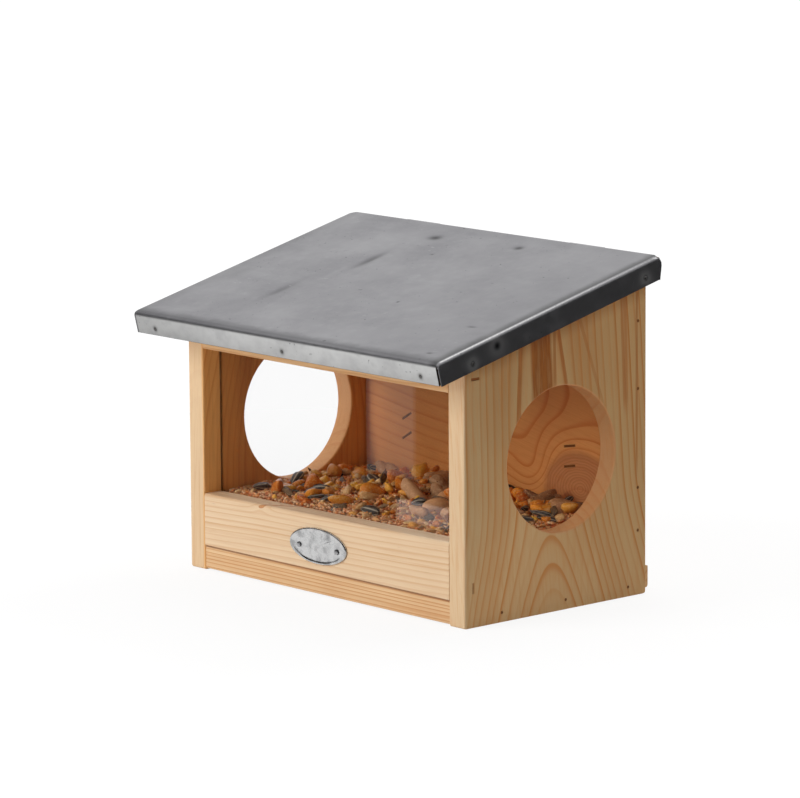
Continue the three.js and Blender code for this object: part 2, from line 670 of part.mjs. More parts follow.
// Open seams up the four corners, behind the front flange and ahead of the back one
function cornerSlits() {
  const deep = -FLANGE_H - OVERRUN;
  return [-1, 1].flatMap((side) => {
    const xs = [side * (ROOF_W / 2 - SHEET_T), side * (ROOF_W / 2 + OVERRUN)].sort((a, b) => a - b);
    const front = roofFrontY() + SHEET_T;
    const back = roofBackY(-FLANGE_H) - SHEET_T;
    return [
      block([xs[0], front, deep], [xs[1], front + CORNER_SLIT, -SHEET_FOLD_R]),
      block([xs[0], back - CORNER_SLIT, deep], [xs[1], back, -SHEET_FOLD_R]),
    ];
  });
}

function roofSheet() {
  const shell = cut(roofBlock(0, FLANGE_H), [roofBlock(SHEET_T, FLANGE_H + OVERRUN), ...cornerSlits()]);
  return piece("roof_sheet", cut(shell, roofLeafScrewHoles()), ZINC);
}

function roofBoard() {
  return piece("roof_board", cut(roofBlock(BOARD_INSET, ROOF_DEPTH), roofLeafScrewHoles()), PINE);
}

// Holes of the roof leaves' screws, brought from the box's frame into the roof's
function roofLeafScrewHoles() {
  const toRoof = roofFrame().invert();
  return placed(hingeXs().flatMap((x) => leafScrewPlaces(x, 1)), screwHole(WOOD_SCREW))
    .map((tool) => tool.applyMatrix4(toRoof));
}

function roofFrame() {
  return new THREE.Matrix4().makeRotationX(ROOF_SLOPE).setPosition(0, 0, ROOF_TOP_Z);
}

function boxPieces() {
  const group = new THREE.Group();
  group.add(
    sideWall(-1), sideWall(1), backWall(), floorBoard(), frontBoard(), topRail(), windowPane(),
    spacerBatten(), hangingBatten(), badge(), feedMix(),
    ...fasteners("back_wall_nail", backWallNailPlaces(), nail(BRAD)),
    ...fasteners("floor_nail", floorNailPlaces(), nail(BRAD)),
    ...fasteners("frame_staple", frameStaplePlaces(), staple(FRAME_STAPLE)),
    ...fasteners("batten_staple", battenStaplePlaces(), staple(BATTEN_STAPLE)),
    ...fasteners("spacer_nail", spacerNailPlaces(), nail(SPACER_NAIL)),
    ...fasteners("badge_nail", badgeNailPlaces(), standingNail(BADGE_NAIL)),
    ...fasteners("hanger_screw", hangerXs().flatMap(hangerScrewPlaces), woodScrew(WOOD_SCREW)),
  );
  ["left", "right"].forEach((name, i) => {
    const x = hingeXs()[i];
    group.add(
      hanger(`hanger_${name}`, hangerXs()[i]),
      leaf(`hinge_${name}_wall_leaf`, x, -1),
      hingePin(`hinge_${name}_pin`, x),
    );
  });
  const wallScrews = hingeXs().flatMap((x) => leafScrewPlaces(x, -1));
  group.add(...fasteners("hinge_wall_screw", wallScrews, woodScrew(WOOD_SCREW)));
  return group;
}

function roofPieces() {
  const group = new THREE.Group();
  const sloping = new THREE.Group();
  sloping.rotation.x = ROOF_SLOPE;
  sloping.position.z = ROOF_TOP_Z;
  sloping.add(roofBoard(), roofSheet());
  group.add(sloping);
  ["left", "right"].forEach((name, i) => group.add(leaf(`hinge_${name}_roof_leaf`, hingeXs()[i], 1)));
  const roofScrews = hingeXs().flatMap((x) => leafScrewPlaces(x, 1));
  group.add(...fasteners("hinge_roof_screw", roofScrews, woodScrew(WOOD_SCREW)));
  return group;
}

const feeder = new THREE.Group();
feeder.add(boxPieces(), roofPieces());
const space = new THREE.Box3().setFromObject(feeder, true);
feeder.position.y = -(space.min.y + space.max.y) / 2;

export default feeder;
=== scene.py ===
"""Looks of the squirrel feeder box: finishes, the folded roof sheet, the feed and the photo's view.

Everything is in metres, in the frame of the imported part: X to the right of someone facing the
window, -Y out of the window front, +Z up.
"""

import logging
import math
from collections.abc import Sequence
from dataclasses import dataclass, field
from enum import Enum

import bmesh
import bpy
import numpy as np
from mathutils import Matrix, Vector

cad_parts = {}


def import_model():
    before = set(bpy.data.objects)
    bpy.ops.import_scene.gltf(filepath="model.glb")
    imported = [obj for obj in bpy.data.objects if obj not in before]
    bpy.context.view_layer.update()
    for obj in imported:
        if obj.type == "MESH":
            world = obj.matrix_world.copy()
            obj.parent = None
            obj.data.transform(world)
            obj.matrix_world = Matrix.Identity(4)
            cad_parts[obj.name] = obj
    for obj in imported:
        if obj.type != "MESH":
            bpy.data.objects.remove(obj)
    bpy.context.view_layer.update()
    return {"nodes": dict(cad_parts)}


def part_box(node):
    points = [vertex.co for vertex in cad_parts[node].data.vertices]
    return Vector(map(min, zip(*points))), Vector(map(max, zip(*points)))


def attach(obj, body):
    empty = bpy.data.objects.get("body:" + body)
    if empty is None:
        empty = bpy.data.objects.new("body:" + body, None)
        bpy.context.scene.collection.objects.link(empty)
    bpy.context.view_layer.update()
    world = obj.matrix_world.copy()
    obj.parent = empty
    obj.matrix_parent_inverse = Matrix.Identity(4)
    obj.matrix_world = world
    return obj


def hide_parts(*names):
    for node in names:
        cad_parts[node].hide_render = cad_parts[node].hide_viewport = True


LOG = logging.getLogger("feeder")
MM = 0.001
Colour = tuple[float, float, float]
Point = tuple[float, float, float]

# The box's front face, the roof's slope, its reach beyond that face and its flanges' height.
BOX_FRONT = -58.319 * MM
ROOF_SLOPE = math.radians(14.0)
ROOF_OVERHANG = 28.75 * MM
FLANGE_DROP = 12.6 * MM


def srgb(red: int, green: int, blue: int) -> Colour:
    """Turns a colour in 0 to 255 steps, as seen on a screen, into linear light."""
    steps = (red / 255, green / 255, blue / 255)
    return tuple(c / 12.92 if c <= 0.04045 else ((c + 0.055) / 1.055) ** 2.4 for c in steps)


# Shader maths


class Kind(Enum):
    """What a signal carries."""

    NUMBER = "number"
    VECTOR = "vector"
    COLOUR = "colour"


class Signal:
    """A value in a material, written with ordinary operators."""

    def __init__(self, graph: "Graph", socket: bpy.types.NodeSocket, kind: Kind) -> None:
        """Wraps an output socket.

        Args:
            graph: The graph that the socket is in.
            socket: The output socket.
            kind: What it carries.
        """
        self.graph = graph
        self.socket = socket
        self.kind = kind

    def _join(self, operation: str, other: object, swapped: bool = False) -> "Signal":
        """Puts this signal and another value through one operation.

        Args:
            operation: ADD, SUBTRACT, MULTIPLY, DIVIDE or POWER.
            other: A signal, a number or a vector.
            swapped: True if the other value comes first.

        Returns:
            The result, a vector if either side is one.
        """
        pair = (other, self) if swapped else (self, other)
        kinds = (self.kind, getattr(other, "kind", None))
        vectors = Kind.VECTOR in kinds or isinstance(other, (tuple, Vector))
        return self.graph.vector(operation, *pair) if vectors else self.graph.math(operation, *pair)

    def __add__(self, other: object) -> "Signal":
        """Adds."""
        return self._join("ADD", other)

    __radd__ = __add__

    def __sub__(self, other: object) -> "Signal":
        """Subtracts."""
        return self._join("SUBTRACT", other)

    def __rsub__(self, other: object) -> "Signal":
        """Subtracts this from a value."""
        return self._join("SUBTRACT", other, swapped=True)

    def __mul__(self, other: object) -> "Signal":
        """Multiplies; a vector times a number scales it."""
        return self._join("MULTIPLY", other)

    __rmul__ = __mul__

    def __truediv__(self, other: object) -> "Signal":
        """Divides."""
        return self._join("DIVIDE", other)

    def __rtruediv__(self, other: object) -> "Signal":
        """Divides a value by this."""
        return self._join("DIVIDE", other, swapped=True)

    def __pow__(self, other: object) -> "Signal":
        """Raises to a power."""
        return self._join("POWER", other)

    def fract(self) -> "Signal":
        """The part after the decimal point."""
        return self.graph.math("FRACT", self)

    def floor(self) -> "Signal":
        """The whole number below."""
        return self.graph.math("FLOOR", self)

    def exp(self) -> "Signal":
        """The exponential."""
        return self.graph.math("EXPONENT", self)

    def size(self) -> "Signal":
        """A vector's length."""
        return self.graph.vector("LENGTH", self)

    def dot(self, other: object) -> "Signal":
        """The dot product with a vector."""
        return self.graph.vector("DOT_PRODUCT", self, other)

    def ease(self, low: float, high: float) -> "Signal":
        """Turns low to high into a smooth 0 to 1."""
        ends = {"Value": self, "From Min": low, "From Max": high}
        return self.graph.signal("ShaderNodeMapRange", {"interpolation_type": "SMOOTHSTEP"}, ends)

    def parts(self) -> tuple["Signal", "Signal", "Signal"]:
        """The three parts of a vector."""
        node = self.graph.node("ShaderNodeSeparateXYZ", {}, {"Vector": self})
        return tuple(Signal(self.graph, node.outputs[i], Kind.NUMBER) for i in range(3))


class Graph:
    """The node tree of one material, or of the world."""

    def __init__(self, name: str, world: bool = False) -> None:
        """Makes the material or the world with an empty tree.

        Args:
            name: Its name.
            world: True for the world.
        """
        self.owner = (bpy.data.worlds if world else bpy.data.materials).new(name)
        self.owner.use_nodes = True
        self.tree = self.owner.node_tree
        self.tree.nodes.clear()

    def node(
        self, kind: str, settings: dict[str, object], sockets: dict[object, object]
    ) -> bpy.types.Node:
        """Adds any node.

        Args:
            kind: The node's type.
            settings: Its settings, set first; "stops" holds a ramp's places and colours.
            sockets: Values or signals for its inputs, by name or number.

        Returns:
            The node.
        """
        node = self.tree.nodes.new(kind)
        for name, value in settings.items():
            if name == "stops":
                self._set_stops(node.color_ramp, value)
            else:
                setattr(node, name, value)
        for name, value in sockets.items():
            self._feed(node.inputs[name], value)
        return node

    @staticmethod
    def _set_stops(ramp: bpy.types.ColorRamp, stops: Sequence[tuple[float, Colour]]) -> None:
        """Fills a ramp.

        Args:
            ramp: The ramp.
            stops: Places from 0 to 1 and their colours.
        """
        while len(ramp.elements) < len(stops):
            ramp.elements.new(0.5)
        for element, (place, colour) in zip(ramp.elements, stops):
            element.position = place
            element.color = (*colour, 1)

    def _feed(self, socket: bpy.types.NodeSocket, value: object) -> None:
        """Sets or links one input.

        Args:
            socket: The input.
            value: A signal, a socket, a number, a vector or a colour.
        """
        if isinstance(value, Signal):
            self.tree.links.new(value.socket, socket)
        elif isinstance(value, bpy.types.NodeSocket):
            self.tree.links.new(value, socket)
        elif socket.type == "RGBA" and len(value) == 3:
            socket.default_value = (*value, 1)
        else:
            socket.default_value = value

    def signal(
        self,
        kind: str,
        settings: dict[str, object],
        sockets: dict[object, object],
        output: object = 0,
        carries: Kind = Kind.NUMBER,
    ) -> Signal:
        """Adds any node and takes the output of that name or number."""
        return Signal(self, self.node(kind, settings, sockets).outputs[output], carries)

    def math(self, operation: str, *values: object) -> Signal:
        """A Math node."""
        return self.signal("ShaderNodeMath", {"operation": operation}, dict(enumerate(values)))

    def vector(self, operation: str, *values: object) -> Signal:
        """A Vector Math node.

        Args:
            operation: The node's operation.
            values: Signals, vectors or numbers; a number stands for all three parts.

        Returns:
            A number for LENGTH and DOT_PRODUCT, or else a vector.
        """
        full = dict(enumerate((v, v, v) if isinstance(v, (int, float)) else v for v in values))
        number = operation in ("LENGTH", "DOT_PRODUCT")
        result = ("Value", Kind.NUMBER) if number else ("Vector", Kind.VECTOR)
        return self.signal("ShaderNodeVectorMath", {"operation": operation}, full, *result)

    def place(self) -> Signal:
        """The point on the piece, in the piece's own frame."""
        return self.signal("ShaderNodeTexCoord", {}, {}, "Object", Kind.VECTOR)

    def island(self) -> Signal:
        """A number from 0 to 1 for each separate grain of a mesh."""
        return self.signal("ShaderNodeNewGeometry", {}, {}, "Random Per Island")

    def combine(self, x: object, y: object, z: object) -> Signal:
        """A vector from three numbers."""
        return self.signal("ShaderNodeCombineXYZ", {}, {0: x, 1: y, 2: z}, 0, Kind.VECTOR)

    def noise(self, at: Signal, scale: float, detail: float = 2.0, roughness: float = 0.5) -> Signal:
        """Smooth noise about 0.5, at so many waves in a unit of length, with finer layers."""
        sockets = {"Vector": at, "Scale": scale, "Detail": detail, "Roughness": roughness}
        return self.signal("ShaderNodeTexNoise", {}, sockets, "Fac")

    def cells(self, at: Signal, scale: float) -> tuple[Signal, Signal]:
        """Cells: the distance to the middle of the nearest, and a colour for each."""
        far, colour = self.node("ShaderNodeTexVoronoi", {}, {"Vector": at, "Scale": scale}).outputs[:2]
        return Signal(self, far, Kind.NUMBER), Signal(self, colour, Kind.COLOUR)

    def chance(self, number: Signal) -> Signal:
        """A random number from 0 to 1 for each value of a number."""
        settings = {"noise_dimensions": "1D"}
        return self.signal("ShaderNodeTexWhiteNoise", settings, {"W": number}, "Value")

    def mix(self, share: object, first: object, second: object, blend: str = "MIX") -> Signal:
        """Mixes two colours; a share of 0 gives the first and 1 the second."""
        settings = {"data_type": "RGBA", "blend_type": blend}
        return self.signal("ShaderNodeMix", settings, {0: share, 6: first, 7: second}, 2, Kind.COLOUR)

    def ramp(self, share: Signal, stops: Sequence[tuple[float, Colour]]) -> Signal:
        """A ramp through colours at their places from 0 to 1."""
        return self.signal("ShaderNodeValToRGB", {"stops": stops}, {"Fac": share}, 0, Kind.COLOUR)

    def bump(self, height: Signal, distance: float, strength: float = 1.0) -> Signal:
        """The normal of a relief from 0 to 1, at its depth in metres and a share of full strength."""
        sockets = {"Height": height, "Distance": distance, "Strength": strength}
        return self.signal("ShaderNodeBump", {}, sockets, 0, Kind.VECTOR)

    def layers(self, tone: object, *coats: tuple[Signal, object]) -> Signal:
        """Lays coats over a colour.

        Args:
            tone: The first colour.
            coats: The share and the colour of each coat.

        Returns:
            The colour on top.
        """
        for share, coat in coats:
            tone = self.mix(share, tone, coat)
        return tone

    def principled(self, **sockets: object) -> bpy.types.Node:
        """The surface shader; underscores stand for the spaces in its sockets' names."""
        named = {name.replace("_", " "): value for name, value in sockets.items()}
        return self.node("ShaderNodeBsdfPrincipled", {}, named)

    def sharp_rays(self) -> Signal:
        """Tells what the camera sees, also in metal and through glass, from other light.

        Returns:
            1 for what it sees, or else 0.
        """
        path = self.node("ShaderNodeLightPath", {}, {}).outputs
        eye, gloss, through = (path[f"Is {way} Ray"] for way in ("Camera", "Glossy", "Transmission"))
        return self.math("MAXIMUM", self.math("MAXIMUM", eye, gloss), through)

    def finish(self, shader: bpy.types.Node) -> bpy.types.Material | bpy.types.World:
        """Shows a shader.

        Args:
            shader: The last shader.

        Returns:
            The material or the world.
        """
        kind = "World" if isinstance(self.owner, bpy.types.World) else "Material"
        self.node(f"ShaderNodeOutput{kind}", {}, {"Surface": shader.outputs[0]})
        return self.owner


# Finishes


@dataclass(frozen=True)
class Knot:
    """A branch's stub that runs through a board, with the growth rings swept round it."""

    centre: Point
    branch: Point
    radius: float
    reach: float
    push: float
    ring: float = 1.2 * MM
    pale: Colour = srgb(190, 124, 80)
    dark: Colour = srgb(134, 74, 40)
    share: float = 0.8
    ragged: float = 0.45


@dataclass(frozen=True)
class Tint:
    """A face or a strip of a board with another tone: a paler front edge, or painted light and shade on a
    face or along a joint.
    """

    axis: Point
    level: float
    tone: Colour
    share: float
    fade: float = 1.6 * MM
    blend: str = "MIX"


def shade(axis: Point, level: float, tone: Colour, fade: float = 1.6 * MM) -> Tint:
    """A tint that multiplies the tone of a face, for dim or warm light."""
    return Tint(axis, level, tone, 1.0, fade, "MULTIPLY")


@dataclass(frozen=True)
class Bore:
    """A round opening, whose cut face shows smoother and warmer than the board."""

    centre: Point
    axis: Point
    radius: float
    tone: Colour = srgb(214, 150, 104)
    share: float = 0.55


@dataclass(frozen=True)
class Streak:
    """A dark band of late wood at one place of a board, fading out downwards."""

    centre: Point
    way: Point
    width: float
    tone: Colour
    share: float
    low: float
    fade: float = 14 * MM


@dataclass(frozen=True)
class Sweep:
    """A place that the growth rings are pushed away from, or drawn to."""

    centre: Point
    way: Point
    reach: float
    push: float


@dataclass(frozen=True)
class Arch:
    """Rings that bend over near one end of a board, so that they show as arches."""

    amount: float = 0.0
    low: float = 0.0
    high: float = 1.0


@dataclass(frozen=True)
class Pine:
    """Sawn pine, coloured by the growth rings of the trunk that the board was cut from."""

    name: str
    pith: Point
    trunk: Point
    ring: float = 4.0 * MM
    pale: Colour = srgb(224, 182, 130)
    dark: Colour = srgb(196, 132, 74)
    heart: Colour = srgb(190, 126, 74)
    depth: float = 0.8
    bands: float = 0.35
    vary: float = 0.8
    streaks: float = 0.32
    wobble: float = 3.0 * MM
    crisp: float = 1.0
    knots: tuple[Knot, ...] = ()
    sweeps: tuple[Sweep, ...] = ()
    streaked: tuple[Streak, ...] = ()
    tints: tuple[Tint, ...] = ()
    bores: tuple[Bore, ...] = ()
    arch: Arch = Arch()

    def _stretched(self, across: Signal, along: Signal, wide: float, long: float) -> Signal:
        """A place to read noise at, with so many waves in a metre across the grain and along it."""
        trunk = Vector(self.trunk).normalized()
        return across * wide + across.graph.combine(*(along * (long * c) for c in trunk))

    def material(self) -> bpy.types.Material:
        """Builds the finish.

        Returns:
            The material.
        """
        g = Graph(self.name)
        trunk = Vector(self.trunk).normalized()
        at = g.place()
        from_pith = at - Vector(self.pith)
        along = from_pith.dot(trunk)
        across = from_pith - g.combine(*(along * c for c in trunk))
        # Growth rings, pushed aside by knots and bent into arches near one end.
        drift = g.noise(self._stretched(across, along, 20.0, 6.0), 1.0, 2.0) - 0.5
        radius = across.size() + drift * (2 * self.wobble)
        if self.arch.amount:
            radius = radius - (1 - along.ease(self.arch.low, self.arch.high)) * self.arch.amount
        round_knots = tuple(Sweep(knot.centre, knot.branch, knot.reach, knot.push) for knot in self.knots)
        for sweep in self.sweeps + round_knots:
            aside = self._beside(at, sweep.centre, sweep.way)
            radius = radius + (aside * aside * (-1 / sweep.reach**2)).exp() * sweep.push
        uneven = g.noise(g.combine(radius * (0.31 / self.ring), 0.0, 0.0), 1.0, 1.0) - 0.5
        count = radius * (1 / self.ring) + uneven * 1.3
        year = count.fract()
        late = (year.ease(0.05, 0.9) * 0.3 + year.ease(0.55, 0.9) * 0.7) * (1 - year.ease(0.92, 1.0))
        late = late**self.crisp * (g.chance(count.floor()) * self.vary + (1 - self.vary))
        broad = g.combine(radius * (0.17 / self.ring), 3.7, along * 2.0)
        broad = g.noise(broad, 1.0, 1.0).ease(0.48, 0.72)
        # Fibres, resin streaks and pores, drawn out along the trunk.
        fibre = g.noise(self._stretched(across, along, 1300.0, 36.0), 1.0, 3.0, 0.6)
        streak = g.noise(self._stretched(across, along, 560.0, 5.0), 1.0, 2.0)
        pores = g.noise(self._stretched(across, along, 2600.0, 95.0), 1.0, 1.0)
        patch = g.noise(at, 16.0, 2.0)
        wood = g.layers(
            self.pale,
            (broad * self.bands, self.heart),
            (late * self.depth, self.dark),
            (patch.ease(0.45, 0.75) * 0.18, self.heart),
        )
        relief = late * 0.5 + fibre * 0.32 + pores * 0.18
        above = at.parts()[2]
        for band in self.streaked:
            off = self._beside(at, band.centre, band.way) + drift * (1.6 * band.width)
            off = off * (1 / band.width)
            mask = (1 - off.ease(0.75, 1.08)) * above.ease(band.low, band.low + band.fade)
            wood = g.mix(mask * (streak.ease(0.3, 0.6) * 0.3 + 0.7) * band.share, wood, band.tone)
        for knot in self.knots:
            wood, relief = self._knotted(at, knot, wood, relief)
        # Tints: a paler front edge, and painted light and shade on some faces and joints.
        for tint in self.tints:
            mask = 1 - at.dot(Vector(tint.axis)).ease(tint.level, tint.level + tint.fade)
            wood = g.mix(mask * tint.share, wood, tint.tone, tint.blend)
        for bore in self.bores:
            cut = 1 - self._beside(at, bore.centre, bore.axis).ease(bore.radius, bore.radius + 1.1 * MM)
            wood = g.mix(cut * bore.share, wood, bore.tone)
        wood = g.layers(
            wood,
            (fibre.ease(0.42, 0.75) * 0.2, self.dark),
            (streak.ease(0.5, 0.66) * self.streaks, self.dark),
            (pores.ease(0.7, 0.82) * 0.22, srgb(128, 80, 44)),
        )
        shader = g.principled(
            Base_Color=wood,
            Roughness=fibre * 0.16 + 0.5 - late * 0.08,
            Normal=g.bump(relief, 0.22 * MM, 0.5),
            Specular_IOR_Level=0.3,
        )
        return g.finish(shader)

    @staticmethod
    def _beside(at: Signal, centre: Point, way: Point) -> Signal:
        """The distance from a line.

        Args:
            at: The place.
            centre: A point of the line.
            way: Where the line goes.

        Returns:
            The distance, square to the line.
        """
        straight = Vector(way).normalized()
        aside = at - Vector(centre)
        deep = aside.dot(straight)
        return (aside - at.graph.combine(*(deep * c for c in straight))).size()

    def _knotted(self, at: Signal, knot: Knot, wood: Signal, relief: Signal) -> tuple[Signal, Signal]:
        """Adds a knot's own rings.

        Args:
            at: The place.
            knot: The knot.
            wood: The colour so far.
            relief: The relief so far.

        Returns:
            The colour and the relief with the knot.
        """
        g = at.graph
        ragged = (g.noise(at, 90.0, 2.0) - 0.5) * (knot.ragged * knot.radius)
        swirl = self._beside(at, knot.centre, knot.branch) + ragged
        inside = 1 - swirl.ease(0.8 * knot.radius, 1.04 * knot.radius)
        rim = swirl.ease(0.72 * knot.radius, 0.9 * knot.radius) * inside
        rings = (swirl * (1 / knot.ring)).fract().ease(0.25, 0.95)
        heart = g.layers(knot.pale, (rings * 0.6, knot.dark), (rim * 0.55, knot.dark))
        return g.mix(inside * knot.share, wood, heart), relief + inside * 0.25 + rings * inside * 0.15


@dataclass(frozen=True)
class Dimple:
    """A small dent, round or drawn out, with painted shade and grime in it, and a paler, less metallic
    ring about it: part painted highlight, part worn zinc.
    """

    centre: Point
    radius: float
    shade_and_dirt: float = 0.5
    rubbed_and_lit: float = 0.0
    squeeze: Point = (1.0, 1.0, 1.0)


@dataclass(frozen=True)
class ZincSheet:
    """Galvanised sheet: dull, clouded and scuffed, with dark specks, painted shade along the bends and
    painted highlights on the folds.
    """

    name: str = "zinc_sheet"
    base: Colour = srgb(151, 150, 153)
    fold_x: float = 120.6 * MM
    slope: float = ROOF_SLOPE
    front: float = -49.52 * MM
    top: float = 161.28 * MM
    hem: float = FLANGE_DROP
    dimples: tuple[Dimple, ...] = ()

    def material(self) -> bpy.types.Material:
        """Builds the finish.

        Returns:
            The material.
        """
        g = Graph(self.name)
        at = g.place()
        across = at.parts()[0]
        aside = g.math("ABSOLUTE", across)
        c, s = math.cos(self.slope), math.sin(self.slope)
        up_slope = at.dot((0.0, c, s)) - self.front
        drop = self.top - at.dot((0.0, -s, c))
        bend = up_slope - drop
        middle = 1 - aside.ease(self.fold_x + 0.8 * MM, self.fold_x + 1.4 * MM)
        flange = (1 - bend.ease(-3.2 * MM, -1.0 * MM)) * middle
        # Painted shade along the front bend, and beside the side folds, there stronger on the right.
        cloud = g.noise(at, 24.0, 4.0, 0.55)
        fine = g.noise(at, 230.0, 3.0, 0.65)
        drift = (g.noise(at, 75.0, 2.0) - 0.5) * (7.0 * MM) + (fine - 0.5) * (3.0 * MM)
        front_bend_shade = 1 - (bend + drift).ease(2.5 * MM, 8.5 * MM)
        front_bend_shade = bend.ease(-1.2 * MM, 1.6 * MM) * front_bend_shade * middle
        side_fold_shade = (aside + drift * 0.6).ease(self.fold_x - 9.0 * MM, self.fold_x - 0.2 * MM) ** 1.6
        side_fold_shade = side_fold_shade * (1 - flange) * (1 - aside.ease(self.fold_x, self.fold_x + 0.7 * MM))
        side_fold_shade = side_fold_shade * (across.ease(-20 * MM, 20 * MM) * 0.8 + 0.2)
        # A painted highlight along the side folds, fading towards the rear; painted shade on the side
        # flanges; and a painted shadow along the slit at the open corners.
        fold_highlight = self._line(aside, self.fold_x + 1.2 * MM, 0.38 * MM) * up_slope.ease(1.0 * MM, 4.0 * MM)
        fold_highlight = fold_highlight * (g.noise(at, 900.0, 2.0).ease(0.3, 0.6) * 0.35 + 0.65)
        highlight_tone = g.mix(up_slope.ease(0.0, 190 * MM), srgb(238, 238, 236), srgb(124, 124, 124))
        outer = aside.ease(self.fold_x + 1.3 * MM, self.fold_x + 2.0 * MM)
        seam_shadow = across.ease(self.fold_x, self.fold_x + 0.25 * MM) * (1 - bend.ease(-2.4 * MM, -1.2 * MM))
        seam_shadow = seam_shadow * (1 - across.ease(self.fold_x + 1.4 * MM, self.fold_x + 1.5 * MM))
        # Wear of the flat: zinc crystals, specks, pits, scratches, worn places and smears. The front
        # flange gets painted light, less on the left.
        spangle = g.cells(at, 150.0)[0]
        specks = g.noise(at, 520.0, 1.0).ease(0.71, 0.76) * g.noise(at, 60.0, 1.0).ease(0.45, 0.65)
        pits = (1 - g.cells(at, 55.0)[0].ease(0.02, 0.07)) * g.noise(at, 38.0, 0.0).ease(0.55, 0.62)
        lean = g.vector("CROSS_PRODUCT", at + Vector((0.3, 0.1, 0.2)), (0.42, 0.2, 0.9))
        scratch = g.noise(lean * Vector((1700.0, 70.0, 800.0)), 1.0, 0.0).ease(0.8, 0.83)
        scratch = scratch * g.noise(at, 20.0, 1.0).ease(0.55, 0.66)
        rub = g.noise(at * Vector((12.0, 60.0, 60.0)), 1.0, 3.0, 0.6).ease(0.5, 0.75)
        smear = g.noise(at * Vector((66.0, 60.0, 80.0)), 1.0, 3.0, 0.6)
        lit_flange_tone = g.mix(across.ease(-115 * MM, -40 * MM), srgb(196, 196, 195), srgb(210, 210, 209))
        # Layers: the zinc's tone and wear, darker towards the right on all but the front flange, the
        # front flange's painted light, the painted shade and highlights above, then specks, pits and
        # scratches.
        metal = g.layers(
            self.base,
            (cloud.ease(0.32, 0.7) * 0.6, srgb(130, 129, 133)),
            (fine.ease(0.45, 0.8) * 0.3, srgb(168, 168, 171)),
            (spangle.ease(0.2, 0.7) * 0.12, srgb(126, 126, 130)),
            (rub * 0.2, srgb(172, 172, 174)),
            (across.ease(0.0, 122 * MM) * (1 - flange) * 0.35, srgb(132, 131, 134)),
            (flange * (smear.ease(0.3, 0.62) * 0.3 + 0.65), lit_flange_tone),
            (flange * smear.ease(0.6, 0.75) * 0.25, srgb(150, 150, 152)),
            (front_bend_shade * 0.55, srgb(92, 92, 94)),
            (side_fold_shade * 0.85, srgb(80, 80, 80)),
            (fold_highlight * 0.75, highlight_tone),
            (outer * 0.35, srgb(84, 84, 84)),
            (seam_shadow * 0.95, srgb(22, 22, 22)),
            (specks * 0.6, srgb(82, 82, 86)),
            (pits * 0.7, srgb(58, 58, 62)),
            (scratch * 0.3, srgb(206, 206, 208)),
        )
        relief = cloud * 0.75 + fine * 0.15 - pits * 0.3
        scuffed = outer * smear.ease(0.5, 0.75) * 0.14
        # Each dimple: painted shade and grime in its dip, and a paler ring, part painted highlight and
        # part worn zinc.
        for dimple in self.dimples:
            off = (at - Vector(dimple.centre)) * Vector(dimple.squeeze)
            near = off.size() * (1 / dimple.radius)
            dip = (near * near * -1.0).exp()
            if dimple.rubbed_and_lit:
                halo = (near * near * -0.16).exp() * (1 - dip) * dimple.rubbed_and_lit
                metal = g.mix(halo, metal, srgb(190, 190, 188))
                scuffed = scuffed + halo * 0.5
            metal = g.mix(dip * dimple.shade_and_dirt, metal, srgb(38, 38, 40))
            relief = relief - dip * 1.6
        # Painted shade along the flanges' cut edge.
        metal = g.mix(drop.ease(self.hem - 0.12 * MM, self.hem - 0.02 * MM), metal, srgb(60, 58, 58))
        shader = g.principled(
            Base_Color=metal,
            Metallic=0.9 - scuffed,
            Roughness=cloud * 0.16 + 0.3 + specks * 0.15 + fine * 0.08 - scratch * 0.1 - fold_highlight * 0.1,
            Normal=g.bump(relief, 0.4 * MM, 0.4),
        )
        return g.finish(shader)

    @staticmethod
    def _line(place: Signal, middle: float, width: float) -> Signal:
        """A soft line: 1 at its middle, fading out to both sides."""
        off = (place - middle) * (1 / width)
        return (off * off * -1.0).exp()


@dataclass(frozen=True)
class PlainSteel:
    """Steel of the fittings, from bright plate to dark wire."""

    name: str
    base: Colour
    tarnish: Colour
    worn: float = 0.4
    roughness: float = 0.32
    metallic: float = 1.0

    def material(self) -> bpy.types.Material:
        """Builds the finish.

        Returns:
            The material.
        """
        g = Graph(self.name)
        at = g.place()
        cloud = g.noise(at, 190.0, 3.0, 0.6)
        fine = g.noise(at, 1500.0, 2.0)
        brushed = g.noise(at * Vector((600.0, 4200.0, 4200.0)), 1.0, 1.0)
        worn = (cloud.ease(0.42, 0.72) * self.worn, self.tarnish)
        metal = g.layers(self.base, worn, (brushed.ease(0.55, 0.8) * 0.2, self.tarnish))
        shader = g.principled(
            Base_Color=metal,
            Metallic=self.metallic,
            Roughness=cloud * 0.22 + (self.roughness - 0.08) + fine * 0.06,
            Normal=g.bump(cloud * 0.6 + fine * 0.25 + brushed * 0.15, 0.08 * MM, 0.5),
        )
        return g.finish(shader)


@dataclass(frozen=True)
class ClearSheet:
    """Clear acrylic with faint handling marks."""

    name: str = "clear_acrylic"

    def material(self) -> bpy.types.Material:
        """Builds the finish, which lets the lamps' light through.

        Returns:
            The material.
        """
        g = Graph(self.name)
        at = g.place()
        haze = g.noise(at, 34.0, 3.0, 0.6).ease(0.5, 0.8)
        shader = g.principled(
            Base_Color=(1.0, 1.0, 1.0),
            Roughness=haze * 0.012 + 0.01,
            Transmission_Weight=1.0,
            IOR=1.46,
        )
        clear = g.node("ShaderNodeBsdfTransparent", {}, {"Color": (0.94, 0.95, 0.95)})
        shadow = g.node("ShaderNodeLightPath", {}, {}).outputs["Is Shadow Ray"]
        both = {0: shadow, 1: shader.outputs[0], 2: clear.outputs[0]}
        return g.finish(g.node("ShaderNodeMixShader", {}, both))


